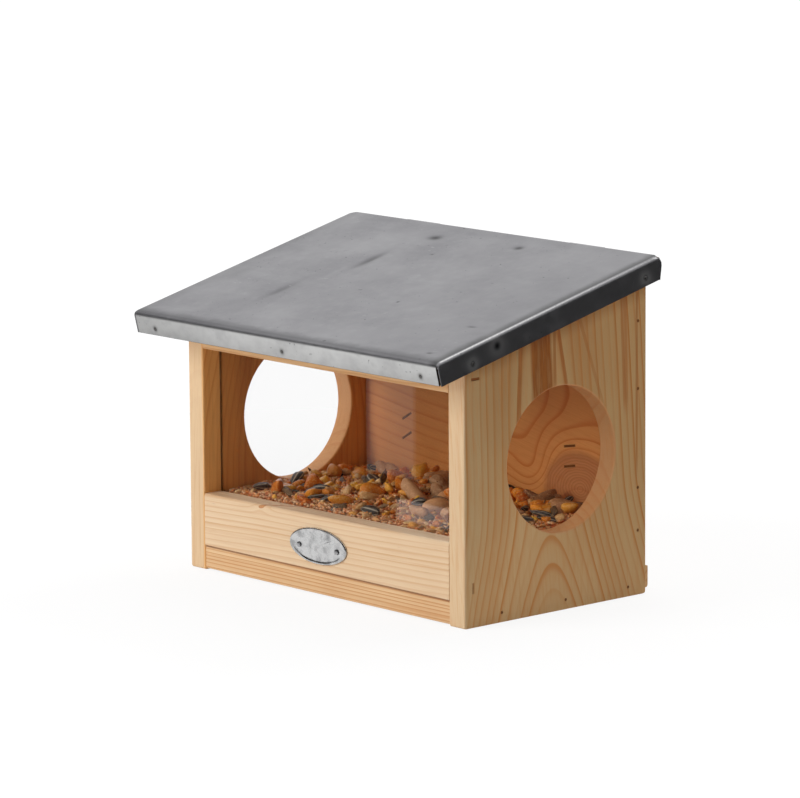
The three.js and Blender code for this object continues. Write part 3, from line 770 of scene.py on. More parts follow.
@dataclass(frozen=True)
class Coat:
    """The skin of one kind of seed or nut, a little different on each grain."""

    name: str
    tones: tuple[Colour, ...]
    mark: Colour
    marks: float = 0.3
    stripes: bool = False
    roughness: float = 0.5
    relief: float = 0.12 * MM

    def material(self) -> bpy.types.Material:
        """Builds the finish, once for all the kinds of grain that share it.

        Returns:
            The material.
        """
        if self.name in bpy.data.materials:
            return bpy.data.materials[self.name]
        g = Graph(self.name)
        at = g.place()
        stops = [(i / max(1, len(self.tones) - 1), tone) for i, tone in enumerate(self.tones)]
        skin = g.ramp(g.island(), stops)
        mottle = g.noise(at, 900.0, 3.0, 0.6)
        skin = g.mix(mottle.ease(0.45, 0.75) * self.marks, skin, self.mark)
        if self.stripes:
            turn = g.signal("ShaderNodeAttribute", {"attribute_name": "round_share"}, {}, "Fac")
            wander = (mottle - 0.5) * 0.12
            line = ((turn * 3.0 + wander).fract() - 0.5) * 2.0
            band = g.math("ABSOLUTE", line).ease(0.12, 0.42)
            skin = g.mix((1 - band) * 0.75, skin, self.mark)
        shader = g.principled(
            Base_Color=skin,
            Roughness=mottle * 0.2 + (self.roughness - 0.1),
            Normal=g.bump(mottle, self.relief, 0.6),
        )
        return g.finish(shader)


# Mesh helpers


def mesh_piece(
    name: str,
    points: Sequence[Point] | np.ndarray,
    faces: Sequence[Sequence[int]] | np.ndarray,
    finish: bpy.types.Material,
    smooth: bool = True,
) -> bpy.types.Object:
    """Makes a mesh object in the scene.

    Args:
        name: The piece's name.
        points: Its corners.
        faces: Its faces, as corner numbers.
        finish: Its material.
        smooth: True for smooth shading.

    Returns:
        The object.
    """
    mesh = bpy.data.meshes.new(name)
    rows = faces.tolist() if isinstance(faces, np.ndarray) else [list(f) for f in faces]
    mesh.from_pydata([tuple(p) for p in np.asarray(points, float)], [], rows)
    mesh.materials.append(finish)
    mesh.polygons.foreach_set("use_smooth", [smooth] * len(mesh.polygons))
    mesh.update()
    piece = bpy.data.objects.new(name, mesh)
    bpy.context.scene.collection.objects.link(piece)
    return piece


def outward(piece: bpy.types.Object) -> bpy.types.Object:
    """Turns all faces of a closed mesh outwards.

    Args:
        piece: The object.

    Returns:
        The same object.
    """
    bm = bmesh.new()
    bm.from_mesh(piece.data)
    bmesh.ops.recalc_face_normals(bm, faces=bm.faces)
    bm.to_mesh(piece.data)
    bm.free()
    return piece


def ring_faces(rings: int, sides: int) -> np.ndarray:
    """Quads between rings of points.

    Args:
        rings: How many rings.
        sides: Points in each.

    Returns:
        The faces.
    """
    i, j = np.meshgrid(np.arange(rings - 1), np.arange(sides), indexing="ij")
    a, b = i * sides + j, i * sides + (j + 1) % sides
    return np.stack([a, b, b + sides, a + sides], -1).reshape(-1, 4)


def capped_faces(rings: int, sides: int, start: int = 0) -> list[list[int]]:
    """Faces of a solid turned from rings of points: the quads between them and two flat ends.

    Args:
        rings: How many rings.
        sides: Points in each.
        start: The number of the first point.

    Returns:
        The faces.
    """
    first = [start + k for k in range(sides)]
    last = [start + (rings - 1) * sides + k for k in range(sides)]
    return (ring_faces(rings, sides) + start).tolist() + [first[::-1], last]


def grid_faces(rows: int, columns: int) -> np.ndarray:
    """Quads of a grid of points.

    Args:
        rows: How many rows of points.
        columns: Points in each.

    Returns:
        A quad for each cell, in rows and columns.
    """
    i, j = np.meshgrid(np.arange(rows - 1), np.arange(columns - 1), indexing="ij")
    a = i * columns + j
    return np.stack([a, a + columns, a + columns + 1, a + 1], -1)


# Sub-assemblies


@dataclass(frozen=True)
class Lamp:
    """A soft square lamp, its power in watts; metal and glass show it only if it is mirrored."""

    name: str
    place: Point
    target: Point
    size: float
    power: float
    mirrored: bool = False


@dataclass(frozen=True)
class Card:
    """A dark upright card; its foot runs along a path, and an apron lies on the floor as far as X."""

    name: str
    path: tuple[tuple[float, float], ...]
    low: float
    high: float
    apron: float = 0.0


@dataclass(frozen=True)
class Screen:
    """Upright rectangles (left, right, low, high) before the window, dark unless they glow."""

    name: str
    parts: tuple[tuple[float, float, float, float], ...]
    glow: float = 0.0


@dataclass
class Studio:
    """The photo's camera, with a pale floor, soft lamps and the cards that metal and glass show."""

    eye: Point = (1.9428, -1.7391, 0.5547)
    turn: float = 48.213
    tilt: float = 9.882
    roll: float = -0.393
    lens: float = 221.11
    floor_size: float = 6.0
    screen_y: float = -0.1
    lamps: tuple[Lamp, ...] = (
        Lamp("key", (-0.9, -1.9, 1.1), (0.0, 0.0, 0.08), 1.2, 23.6),
        Lamp("front", (-0.5, -2.2, 0.36), (0.0, 0.0, 0.08), 0.9, 6.8),
        Lamp("sky", (-0.4, 0.5, 1.9), (0.0, 0.0, 0.1), 1.6, 13.0),
        Lamp("fill", (1.9, -1.2, 0.5), (0.0, 0.0, 0.06), 1.2, 1.3),
        Lamp("rear", (0.1, 1.5, 1.7), (0.0, 0.0, 0.1), 0.7, 9.0, mirrored=True),
    )
    cards: tuple[Card, Card] = (
        Card("dark_card_right", ((0.6, -0.3), (1.1, 0.4), (0.5, 1.3)), 0.001, 0.7, 0.18),
        Card("dark_card_far", ((-0.62, 0.1), (-0.42, -0.4), (0.12, -0.62)), 0.07, 0.34),
    )
    screens: tuple[Screen, Screen] = (
        Screen(
            "dark_screen",
            (
                (-0.34, -0.0397, 0.028, 0.1145),
                (-0.0397, -0.016, 0.028, 0.0548),
                (-0.016, -0.0016, 0.0425, 0.0548),
                (-0.0016, 0.0263, 0.0425, 0.1145),
                (0.0263, 0.12, 0.028, 0.1145),
            ),
        ),
        Screen("pale_screen", ((-0.0397, -0.0016, 0.0548, 0.1145),), 0.42),
    )

    def build(self) -> None:
        """Makes the camera, the lamps, the world, the cards and the floor."""
        self._camera()
        self._world()
        for lamp in self.lamps:
            self._light(lamp)
        beside, ahead = (self._card(card) for card in self.cards)
        dark, pale = (self._screen(screen) for screen in self.screens)
        self._floor()

    def _camera(self) -> None:
        """Places the camera where the photo was taken."""
        data = bpy.data.cameras.new("photo_view")
        data.lens = self.lens
        data.sensor_width = 36.0
        data.clip_start, data.clip_end = 0.05, 50.0
        camera = bpy.data.objects.new("photo_view", data)
        bpy.context.scene.collection.objects.link(camera)
        a, e, r = (math.radians(v) for v in (self.turn, self.tilt, self.roll))
        back = Vector((math.sin(a) * math.cos(e), -math.cos(a) * math.cos(e), math.sin(e)))
        right = Vector((0, 0, 1)).cross(back).normalized()
        up = back.cross(right)
        level = (right * math.cos(r) + up * math.sin(r), up * math.cos(r) - right * math.sin(r), back)
        camera.matrix_world = Matrix.Translation(self.eye) @ Matrix(level).transposed().to_4x4()
        bpy.context.scene.camera = camera

    def _world(self) -> None:
        """Makes a soft even surround that looks white."""
        g = Graph("studio", world=True)
        white = (1.0, 1.0, 1.0)
        dim, bright = (
            g.node("ShaderNodeBackground", {}, {"Color": white, "Strength": strength}).outputs[0]
            for strength in (0.34, 1.0)
        )
        both = g.node("ShaderNodeMixShader", {}, {0: g.sharp_rays(), 1: dim, 2: bright})
        bpy.context.scene.world = g.finish(both)
        bpy.context.scene.view_settings.view_transform = "Standard"

    @staticmethod
    def _light(lamp: Lamp) -> None:
        """Adds a lamp to the scene.

        Args:
            lamp: The lamp.
        """
        data = bpy.data.lights.new(lamp.name, "AREA")
        data.size = lamp.size
        data.energy = lamp.power
        light = bpy.data.objects.new(lamp.name, data)
        light.location = lamp.place
        light.rotation_mode = "QUATERNION"
        light.rotation_quaternion = (Vector(lamp.target) - Vector(lamp.place)).to_track_quat("-Z", "Y")
        light.visible_glossy = lamp.mirrored
        bpy.context.scene.collection.objects.link(light)

    def _floor(self) -> bpy.types.Object:
        """Makes the floor, white to the eye apart from the box's shadow.

        Returns:
            The floor.
        """
        g = Graph("pale_floor")
        diffuse = g.node("ShaderNodeBsdfDiffuse", {}, {"Color": (0.86, 0.86, 0.86)})
        glow = g.node("ShaderNodeEmission", {}, {"Color": (1.0, 1.0, 1.0), "Strength": 1.06})
        far = g.place().size().ease(0.2, 0.55)
        share = g.sharp_rays() * (far * 0.18 + 0.82)
        both = g.node("ShaderNodeMixShader", {}, {0: share, 1: diffuse.outputs[0], 2: glow.outputs[0]})
        half = self.floor_size / 2
        square = [(-half, -half, 0), (half, -half, 0), (half, half, 0), (-half, half, 0)]
        return mesh_piece("floor", square, [(0, 1, 2, 3)], g.finish(both), smooth=False)

    def _card(self, card: Card) -> bpy.types.Object:
        """Makes a card, as a dark part of a studio would show.

        Args:
            card: The card.

        Returns:
            The card's mesh.
        """
        path, low = card.path, card.low
        points = [(x, y, z) for x, y in path for z in (low, card.high)]
        faces = [[2 * k, 2 * k + 2, 2 * k + 3, 2 * k + 1] for k in range(len(path) - 1)]
        if card.apron:
            start = len(points)
            points += [(card.apron, path[0][1], low), (card.apron, path[-1][1], low)]
            faces.append([start] + [2 * k for k in range(len(path))] + [start + 1])
        return self._mirrored(card.name, points, faces, 0.0)

    def _screen(self, screen: Screen) -> bpy.types.Object:
        """Makes a screen.

        Args:
            screen: The screen.

        Returns:
            The screen's mesh.
        """
        points, faces = [], []
        for left, right, low, high in screen.parts:
            faces.append([len(points) + k for k in range(4)])
            around = ((left, low), (right, low), (right, high), (left, high))
            points += [(x, self.screen_y, z) for x, z in around]
        return self._mirrored(screen.name, points, faces, screen.glow)

    @staticmethod
    def _mirrored(
        name: str, points: Sequence[Point], faces: Sequence[Sequence[int]], glow: float
    ) -> bpy.types.Object:
        """Makes a mesh that only metal and glass show.

        Args:
            name: Its name.
            points: Its corners.
            faces: Its faces, as corner numbers.
            glow: How bright it shows; 0 for dark.

        Returns:
            The mesh.
        """
        g = Graph(name)
        if glow:
            finish = g.finish(g.node("ShaderNodeEmission", {}, {"Strength": glow}))
        else:
            finish = g.finish(g.principled(Base_Color=(0.02, 0.02, 0.02), Roughness=0.9))
        card = mesh_piece(name, points, faces, finish, smooth=False)
        card.visible_camera = card.visible_diffuse = card.visible_shadow = False
        return card


@dataclass
class Carcass:
    """The boards of the box and its roof board, each cut from its own piece of trunk."""

    front: float = BOX_FRONT

    def _at(self, x: float, y: float, z: float) -> Point:
        """A point from millimetres right of the middle, behind the front face and above the ground."""
        return (x * MM, self.front + y * MM, z * MM)

    def _right_wall(self, edge: Tint, way_in: Bore) -> Pine:
        """The wall that the photo shows best, with the dark bands of late wood above its way in.

        Args:
            edge: The tone of its front edge.
            way_in: Its opening.

        Returns:
            The finish.
        """
        # Painted shade: the inner face deeper and warmer, the top and back darker, the upper front a
        # little dimmer and cooler, and a painted shadow in a strip under the roof's flange.
        inside = shade((1.0, 0.0, 0.0), 99.3 * MM, (0.88, 0.74, 0.56))
        shaded = shade((0.0, -0.72, -0.69), -115 * MM, (0.78, 0.73, 0.64), 130 * MM)
        near_front = shade((0.0, 0.94, -0.34), -76 * MM, (0.86, 0.9, 0.93), 40 * MM)
        under_roof = shade((0.0, 0.2419, -0.9703), -145.5 * MM, (0.7, 0.64, 0.55), 10 * MM)
        bands = tuple(
            Streak(self._at(111.25, y, z), (0.0, lean, 1.0), width * MM, tone, share, low * MM)
            for y, z, lean, width, tone, share, low in (
                (55.0, 135, -0.05, 8.4, srgb(168, 94, 14), 1.0, 92),
                (64.5, 135, -0.02, 1.2, srgb(176, 104, 36), 0.7, 112),
                (89.4, 135, -0.36, 1.3, srgb(194, 122, 58), 0.5, 100),
                (39.5, 128, 0.04, 1.6, srgb(188, 118, 58), 0.75, 84),
                (70.5, 133, -0.2, 1.5, srgb(188, 118, 58), 0.8, 110),
                (115.0, 150, -0.03, 3.0, srgb(196, 126, 66), 0.7, 96),
                (124.5, 150, 0.0, 1.2, srgb(190, 118, 58), 0.7, 60),
            )
        )
        return Pine(
            "pine_right_wall", self._at(94, 62, 0), (-0.07, -0.05, 1.0), 4.4 * MM,
            pale=srgb(222, 184, 132), dark=srgb(208, 138, 70), heart=srgb(200, 138, 76),
            bands=0.5, depth=1.0, streaks=0.22, wobble=2.6 * MM, crisp=1.15, streaked=bands,
            tints=(inside, shaded, near_front, under_roof, edge), bores=(way_in,),
            arch=Arch(17 * MM, -40 * MM, 66 * MM),
        )

    def finishes(self) -> dict[str, Pine]:
        """The finish of each board.

        Returns:
            The finishes, by the board's node.
        """
        at = self._at
        edge = Tint((0.0, 1.0, 0.0), self.front, srgb(234, 205, 167), 0.8)
        end_shade = srgb(30, 26, 24)
        # The tone of the painted shadow in the joint between the front board and the floor board.
        joint_shadow = srgb(128, 70, 36)
        way_in = Bore(at(0, 69.7, 81.1), (1.0, 0.0, 0.0), 39 * MM)
        return {
            "right_wall": self._right_wall(edge, way_in),
            "left_wall": Pine(
                "pine_left_wall", at(-98, 74, 0), (0.03, 0.02, 1.0), 4.4 * MM,
                depth=0.6, streaks=0.2, crisp=1.3, bores=(way_in,),
                # Painted shade makes the inner face deeper and warmer.
                tints=(edge, shade((-1.0, 0.0, 0.0), 99.3 * MM, (1.2, 0.95, 0.62))),
                arch=Arch(14 * MM, 60 * MM, 150 * MM),
            ),
            "back_wall": Pine(
                "pine_back_wall", at(0, 140, 96), (1.0, 0.04, -0.2), 5.0 * MM,
                pale=srgb(230, 186, 134), dark=srgb(196, 116, 54), wobble=5.2 * MM, streaks=0.1,
                crisp=2.2, depth=0.92,
                sweeps=(Sweep(at(36, 119.5, 56), (0.0, 1.0, 0.0), 20 * MM, -20 * MM),),
                knots=(
                    Knot(
                        at(73, 119.5, 52.8), (0.9, 1.0, 0.05), 22 * MM, 46 * MM, 44 * MM, 1.6 * MM,
                        srgb(196, 152, 124), srgb(160, 112, 84), 0.8, 0.12,
                    ),
                ),
                tints=(
                    Tint((1.0, 0.0, 0.0), -20 * MM, srgb(224, 178, 124), 0.5, 60 * MM),
                    # Painted shade makes the inner face deeper and warmer.
                    shade((0.0, 1.0, 0.0), 61.4 * MM, (1.05, 0.72, 0.45)),
                ),
            ),
            "floor_board": Pine(
                "pine_floor", at(0, 60, -50), (1.0, 0.004, 0.008), 1.42 * MM,
                pale=srgb(238, 203, 158), dark=srgb(204, 138, 80),
                depth=1.0, vary=0.35, wobble=0.4 * MM, bands=0.15, crisp=1.2,
                # Painted shadow along the joint under the front board, on this board's top front edge.
                tints=(Tint((0.0, 0.0, -1.0), -13.0 * MM, joint_shadow, 0.65, 0.5 * MM),),
            ),
            "front_board": Pine(
                "pine_front_board", at(0, 66, -34), (1.0, 0.0, 0.03), 2.1 * MM,
                pale=srgb(238, 210, 175), dark=srgb(212, 162, 112), heart=srgb(226, 188, 146),
                depth=0.7, vary=0.6, wobble=1.5 * MM, streaks=0.22,
                knots=(
                    Knot(
                        at(-51.5, 0, 42.2), (1.0, 0.55, 0.1), 1.0 * MM, 4 * MM, -2.2 * MM, 0.8 * MM,
                        srgb(206, 134, 76), srgb(160, 88, 44), 0.85, 1.4,
                    ),
                ),
                tints=(
                    # Painted shadow along the joint, on the bottom edge.
                    Tint((0.0, 0.0, 1.0), 13.7 * MM, joint_shadow, 0.7, 0.6 * MM),
                    # Painted light on the top face, which the roof's overhang shades.
                    Tint((0.0, 0.0, -1.0), -44.3 * MM, srgb(252, 230, 198), 0.9, 0.6 * MM),
                ),
            ),
            "top_rail": Pine(
                "pine_top_rail", at(0, -40, 100), (1.0, 0.0, 0.02), 3.0 * MM,
                pale=srgb(236, 196, 146), dark=srgb(206, 148, 92), depth=0.6,
            ),
            "spacer_batten": Pine("pine_spacer", at(0, 170, -20), (1.0, 0.02, 0.0), 3.0 * MM),
            "hanging_batten": Pine("pine_hanging_batten", at(0, 165, 30), (1.0, 0.0, 0.05), 3.4 * MM),
            "roof_board": Pine(
                "pine_roof_board", at(0, 40, 210), (1.0, 0.06, 0.05), 4.2 * MM,
                # Painted shade on the ends and the front face, where they show in the slits at the
                # sheet's corners.
                tints=(
                    Tint((1.0, 0.0, 0.0), -121.4 * MM, end_shade, 0.95, 0.3 * MM),
                    Tint((-1.0, 0.0, 0.0), -121.4 * MM, end_shade, 0.95, 0.3 * MM),
                    Tint((0.0, 0.9703, 0.2419), -48.3 * MM, end_shade, 0.95, 0.3 * MM),
                ),
            ),
        }

    def build(self, nodes: dict[str, bpy.types.Object]) -> None:
        """Dresses the boards; nodes holds the part's own pieces, by name."""
        for name, finish in self.finishes().items():
            dress(nodes[name], finish.material())


def dress(piece: bpy.types.Object, finish: bpy.types.Material) -> None:
    """Puts a finish on every slot of a piece.

    Args:
        piece: The object.
        finish: The material.
    """
    if not piece.material_slots:
        piece.data.materials.append(finish)
    for slot in piece.material_slots:
        slot.material = finish


@dataclass(frozen=True)
class Dent:
    """A dent or bulge in the roof sheet, in millimetres right of the middle and behind the front."""

    across: float
    along: float
    wide: float
    long: float
    deep: float


@dataclass
class RoofSheet:
    """The zinc sheet, folded down over the roof board's four edges, thin, dented and a little wavy."""

    width: float = 245.8 * MM
    slope: float = ROOF_SLOPE
    front: float = BOX_FRONT - ROOF_OVERHANG
    back: float = 73.17 * MM
    top: float = 151.64 * MM
    thickness: float = 0.6 * MM
    fold: float = 2.3 * MM
    end_folds: tuple[float, float] = (3.2 * MM, 2.5 * MM)
    corner_ends: tuple[float, float] = (0.5, 0.1)
    drop: float = FLANGE_DROP
    edge_strip: float = 0.12 * MM
    rear_round: float = 6.0 * MM
    rear_reach: float = 4.6 * MM
    rear_fade: float = 3.4 * MM
    rear_draw: float = 0.17
    lean_length: float = 30.0 * MM
    overhang: float = 28.8 * MM
    dents: tuple[Dent, ...] = (
        Dent(-33.7, 112.3, 6.0, 4.5, 0.36), Dent(30.8, 114.5, 5.0, 4.5, 0.3),
        Dent(-59.3, 23.4, 3.0, 14.0, 0.3), Dent(-52.0, 48.0, 2.6, 14.0, 0.25),
        Dent(-44.4, 73.6, 3.0, 12.0, 0.42), Dent(10.0, 60.0, 26.0, 18.0, 0.35),
        Dent(70.0, 30.0, 30.0, 22.0, 0.3), Dent(-90.0, 100.0, 18.0, 24.0, 0.3),
        Dent(-10.0, 5.0, 14.0, 9.0, -0.25), Dent(84.0, 98.0, 16.0, 20.0, -0.3),
        Dent(52.0, 70.0, 3.0, 3.0, 0.25), Dent(-14.0, 92.0, 2.4, 3.4, 0.25),
    )

    def _span(self, flat: float, step: float, folds: tuple[float, float]) -> np.ndarray:
        """Distances along the unfolded sheet, from one flange's edge to the other's.

        Args:
            flat: The flat length between the two folds.
            step: The largest step on the flat.
            folds: The radius of the fold at each end.

        Returns:
            The distances; the flat runs from 0 to flat.
        """
        inner = np.linspace(0.0, flat, max(2, int(flat / step)))
        low, high = (self._flange(fold) for fold in folds)
        return np.concatenate([-low[::-1], inner, flat + high])

    def _flange(self, fold: float) -> np.ndarray:
        """Distances from the flat's end over one fold and down its flange, to a narrow last strip.

        Args:
            fold: The fold's radius.

        Returns:
            The distances.
        """
        arc = fold * math.pi / 2
        end = arc + self.drop - fold
        down = np.linspace(arc, end - self.edge_strip, 7)
        return np.concatenate([np.linspace(0.0, arc, 9)[1:-1], down, [end]])

    @staticmethod
    def _bent(s: np.ndarray, flat: float, folds: tuple[float, float]) -> tuple[np.ndarray, np.ndarray]:
        """Where distances along the sheet come to lie once it is folded.

        Args:
            s: Distances along the unfolded sheet.
            flat: The flat length between the folds.
            folds: The radius of the fold at each end.

        Returns:
            The place along the flat direction, and the drop below the sheet's top.
        """
        over = np.maximum(np.maximum(-s, s - flat), 0.0)
        side = np.where(s > flat, 1.0, -1.0)
        fold = np.where(s > flat, folds[1], folds[0])
        arc = fold * math.pi / 2
        angle = np.minimum(over, arc) / fold
        out = fold * np.sin(angle)
        down = fold * (1 - np.cos(angle)) + np.maximum(over - arc, 0.0)
        base = np.clip(s, 0.0, flat)
        return base + side * out, down

    def build(self) -> bpy.types.Object:
        """Makes the sheet.

        Returns:
            The sheet, riding the roof.
        """
        flat_x = self.width - 2 * self.fold
        reach = (self.back - self.front) / math.cos(self.slope)
        flat_y = reach - sum(self.end_folds)
        side_folds = (self.fold, self.fold)
        s = self._span(flat_x, 2.0 * MM, side_folds)
        t = self._span(flat_y, 2.0 * MM, self.end_folds)
        bx, dx = self._bent(s, flat_x, side_folds)
        by, dy = self._bent(t, flat_y, self.end_folds)
        xs, ys = np.meshgrid(bx - flat_x / 2, by, indexing="ij")
        drop = np.maximum(*np.meshgrid(dx, dy, indexing="ij"))
        drop = drop + self._relief(xs / MM, ys / MM)
        ys, drop = self._rounded_rear(xs, ys, drop)
        points = self._placed(xs, ys, drop)
        quads = grid_faces(len(s), len(t))[self._corner_mask(s, t, flat_x, flat_y)]
        piece = mesh_piece("folded_roof_sheet", points.reshape(-1, 3), quads, self._finish())
        bm = bmesh.new()
        bm.from_mesh(piece.data)
        bmesh.ops.delete(bm, geom=[v for v in bm.verts if not v.link_faces], context="VERTS")
        bm.to_mesh(piece.data)
        bm.free()
        skin = piece.modifiers.new("sheet_thickness", "SOLIDIFY")
        skin.thickness = self.thickness
        skin.offset = -1.0
        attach(piece, "roof")
        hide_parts("roof_sheet")
        return piece

    def _rounded_rear(
        self, x: np.ndarray, y: np.ndarray, drop: np.ndarray
    ) -> tuple[np.ndarray, np.ndarray]:
        """Rounds and draws in the two rear corners, where the sheet was knocked over more softly.

        Args:
            x: To the right of the middle.
            y: Up the slope.
            drop: The drop below the sheet's top.

        Returns:
            The changed places up the slope, and the drop.
        """
        from_side = self.width / 2 - np.abs(x)
        near = np.clip((self.rear_reach - from_side) / self.rear_fade, 0.0, 1.0) ** 2
        y = np.minimum(y, y.max() - self.rear_draw * near * np.maximum(drop - 5 * MM, 0.0))
        rear_fold = self.end_folds[1]
        radius = rear_fold + (self.rear_round - rear_fold) * near
        over, above = y - (y.max() - radius), radius - drop
        far = np.hypot(over, above)
        pull = np.where((over > 0) & (above > 0) & (far > radius), radius / np.maximum(far, 1e-9), 1.0)
        return y.max() - radius + over * pull, radius - above * pull

    def _finish(self) -> bpy.types.Material:
        """The zinc, with a dimple of painted shade and grime at each small dent and each nail.

        Returns:
            The material.
        """
        drawn = (1.0, 0.27, 0.27)
        pushed = (
            (-33.7, 112.3, 3.0, 0.95, (0.7, 1.0, 1.0)), (30.8, 114.5, 2.4, 0.9, (0.8, 1.0, 1.0)),
            (-44.4, 73.6, 2.9, 0.6, drawn), (-59.3, 23.4, 3.2, 0.34, drawn),
            (-109.0, 34.4, 7.0, 0.22, (1.0, 0.6, 0.6)), (26.4, 30.8, 0.9, 0.8, (1.0, 1.0, 1.0)),
            (99.6, 16.6, 1.2, 0.5, (0.4, 1.0, 1.0)), (106.3, -19.1, 1.1, 0.6, (0.6, 1.0, 1.0)),
            (-14.0, 92.0, 1.0, 0.6, (1.0, 1.0, 1.0)),
        )
        spots = [
            Dimple(self._on_top(x, y), size * MM, shade_and_dirt, squeeze=squeeze)
            for x, y, size, shade_and_dirt, squeeze in pushed
        ]
        for at, out in SheetNails().places():
            spots.append(Dimple(tuple(at), 1.5 * MM, 0.85, rubbed_and_lit=0.5 if out.x else 0.25))
        knocked = (self.width / 2, BOX_FRONT + 12.6 * MM, 149.0 * MM)
        spots.append(Dimple(knocked, 2.2 * MM, 1.0, rubbed_and_lit=0.35))
        return ZincSheet(dimples=tuple(spots)).material()

    def _on_top(self, x: float, y: float) -> Point:
        """The point of the sheet's top at millimetres across and behind the box's front face."""
        return (x * MM, BOX_FRONT + y * MM, self.top + y * MM * math.tan(self.slope))

    def _relief(self, x: np.ndarray, y: np.ndarray) -> np.ndarray:
        """Dents and waves, which fade out towards the folds, as a further drop.

        Args:
            x: Millimetres to the right of the middle.
            y: Millimetres up the slope from the front fold.

        Returns:
            The further drop in metres.
        """
        waves = 0.11 * (1 + np.sin(x / 19.0 + 0.7 * np.sin(y / 23.0)) * np.sin(y / 31.0 + 1.3))
        waves += 0.05 * (1 + np.sin(x / 7.3 + y / 11.0) * np.sin(y / 8.1 - x / 17.0))
        for d in self.dents:
            from_end = d.along + self.overhang / MM
            up_slope = from_end / math.cos(self.slope) - self.end_folds[0] / MM
            far = ((x - d.across) / d.wide) ** 2 + ((y - up_slope) / d.long) ** 2
            waves = waves + d.deep * np.exp(-far)
        half = self.width / 2 / MM - self.fold / MM
        inward = np.minimum(half - np.abs(x), np.minimum(y, y.max() - self.end_folds[1] / MM - y))
        return np.clip(waves, 0.0, 0.7) * MM * np.clip(inward / 7.0, 0.0, 1.0) ** 2

    def _placed(self, x: np.ndarray, y: np.ndarray, drop: np.ndarray) -> np.ndarray:
        """Points of the sloping sheet; its back end hangs upright instead of square to the slope.

        Args:
            x: To the right of the middle.
            y: Up the slope from the front fold's start.
            drop: Below the sheet's top, square to it.

        Returns:
            The points in the part's frame.
        """
        c, s = math.cos(self.slope), math.sin(self.slope)
        up = y + self.end_folds[0]
        lean = np.clip((up - (up.max() - self.lean_length)) / self.lean_length, 0.0, 1.0)
        rear_y = self.front + up * c
        rear_z = self.top + (self.front - BOX_FRONT + up * c) * math.tan(self.slope)
        square = np.stack([x, rear_y + drop * s, rear_z - drop * c], -1)
        upright = np.stack([x, rear_y, rear_z - drop / c], -1)
        return square + (upright - square) * lean[..., None]

    def _corner_mask(self, s: np.ndarray, t: np.ndarray, flat_x: float, flat_y: float) -> np.ndarray:
        """Which cells of the unfolded sheet are metal: its four corners are cut away.

        Args:
            s: Distances across.
            t: Distances along.
            flat_x: Flat length across.
            flat_y: Flat length along.

        Returns:
            True for each cell that is kept.
        """
        mid_s, mid_t = (s[1:] + s[:-1]) / 2, (t[1:] + t[:-1]) / 2
        over_s = np.maximum(np.maximum(-mid_s, mid_s - flat_x), 0)[:, None]
        over_t = np.maximum(np.maximum(-mid_t, mid_t - flat_y), 0)[None, :]
        side_arc = self.fold * math.pi / 2
        end_arc = np.where(mid_t < 0, *self.end_folds)[None, :] * (math.pi / 2)
        end = np.where(mid_s < 0, *self.corner_ends)[:, None] * side_arc
        return ~((over_s > end) & (over_t > end_arc))


@dataclass
class SheetNails:
    """Small round-headed nails through the roof sheet's flanges."""

    head: float = 0.95 * MM
    proud: float = 0.3 * MM
    half_width: float = 122.9 * MM
    front: float = BOX_FRONT
    slope: float = ROOF_SLOPE
    front_top: float = 144.5 * MM
    front_down: float = 9.0 * MM
    side_top: float = 151.7 * MM
    back: float = 73.18 * MM
    back_height: float = 178.0 * MM
    front_places: tuple[float, ...] = (-106.9, -1.3, 107.6)
    back_places: tuple[float, ...] = (-108.6, 0.0, 108.6)
    side_places: tuple[tuple[float, float], ...] = ((-6.4, 8.9), (117.5, 8.3))
    steel: PlainSteel = PlainSteel("tack_steel", srgb(120, 118, 116), srgb(70, 68, 66), 0.6, 0.4)

    def places(self) -> list[tuple[Vector, Vector]]:
        """Where the nails are.

        Returns:
            The middle of each head on the sheet, and the way that it faces.
        """
        c, s = math.cos(self.slope), math.sin(self.slope)
        found = []
        front_y = self.front - ROOF_OVERHANG + self.front_down * s
        for x in self.front_places:
            at = Vector((x * MM, front_y, self.front_top - self.front_down * c))
            found.append((at, Vector((0, -c, -s))))
        for x in self.back_places:
            found.append((Vector((x * MM, self.back, self.back_height)), Vector((0, 1, 0))))
        for side in (-1, 1):
            for y, down in self.side_places:
                high = self.side_top + (y * math.tan(self.slope) - down * c) * MM
                at = Vector((side * self.half_width, self.front + (y + down * s) * MM, high))
                found.append((at, Vector((side, 0, 0))))
        return found

    def build(self) -> bpy.types.Object:
        """Makes the nails.

        Returns:
            The nails, riding the roof.
        """
        points, faces = [], []
        for at, out in self.places():
            self._head(points, faces, at, out)
        piece = outward(mesh_piece("roof_sheet_nails", points, faces, self.steel.material()))
        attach(piece, "roof")
        return piece

    def _head(self, points: list[Vector], faces: list[list[int]], at: Vector, out: Vector) -> None:
        """Adds one domed head with a stub of its shank behind it.

        Args:
            points: Corners so far.
            faces: Faces so far.
            at: The head's middle on the sheet.
            out: The way that it faces.
        """
        turn = out.to_track_quat("Z", "Y")
        profile = [(0.5, -2.0), (0.5, -0.1), (1.0, -0.1), (1.0, 0.35), (0.8, 0.75), (0.45, 0.96)]
        sides = 14
        faces.extend(capped_faces(len(profile), sides, len(points)))
        for wide, high in profile:
            for k in range(sides):
                a = 2 * math.pi * k / sides
                ring = (wide * self.head * math.cos(a), wide * self.head * math.sin(a))
                points.append(at + turn @ Vector((*ring, high * self.proud)))


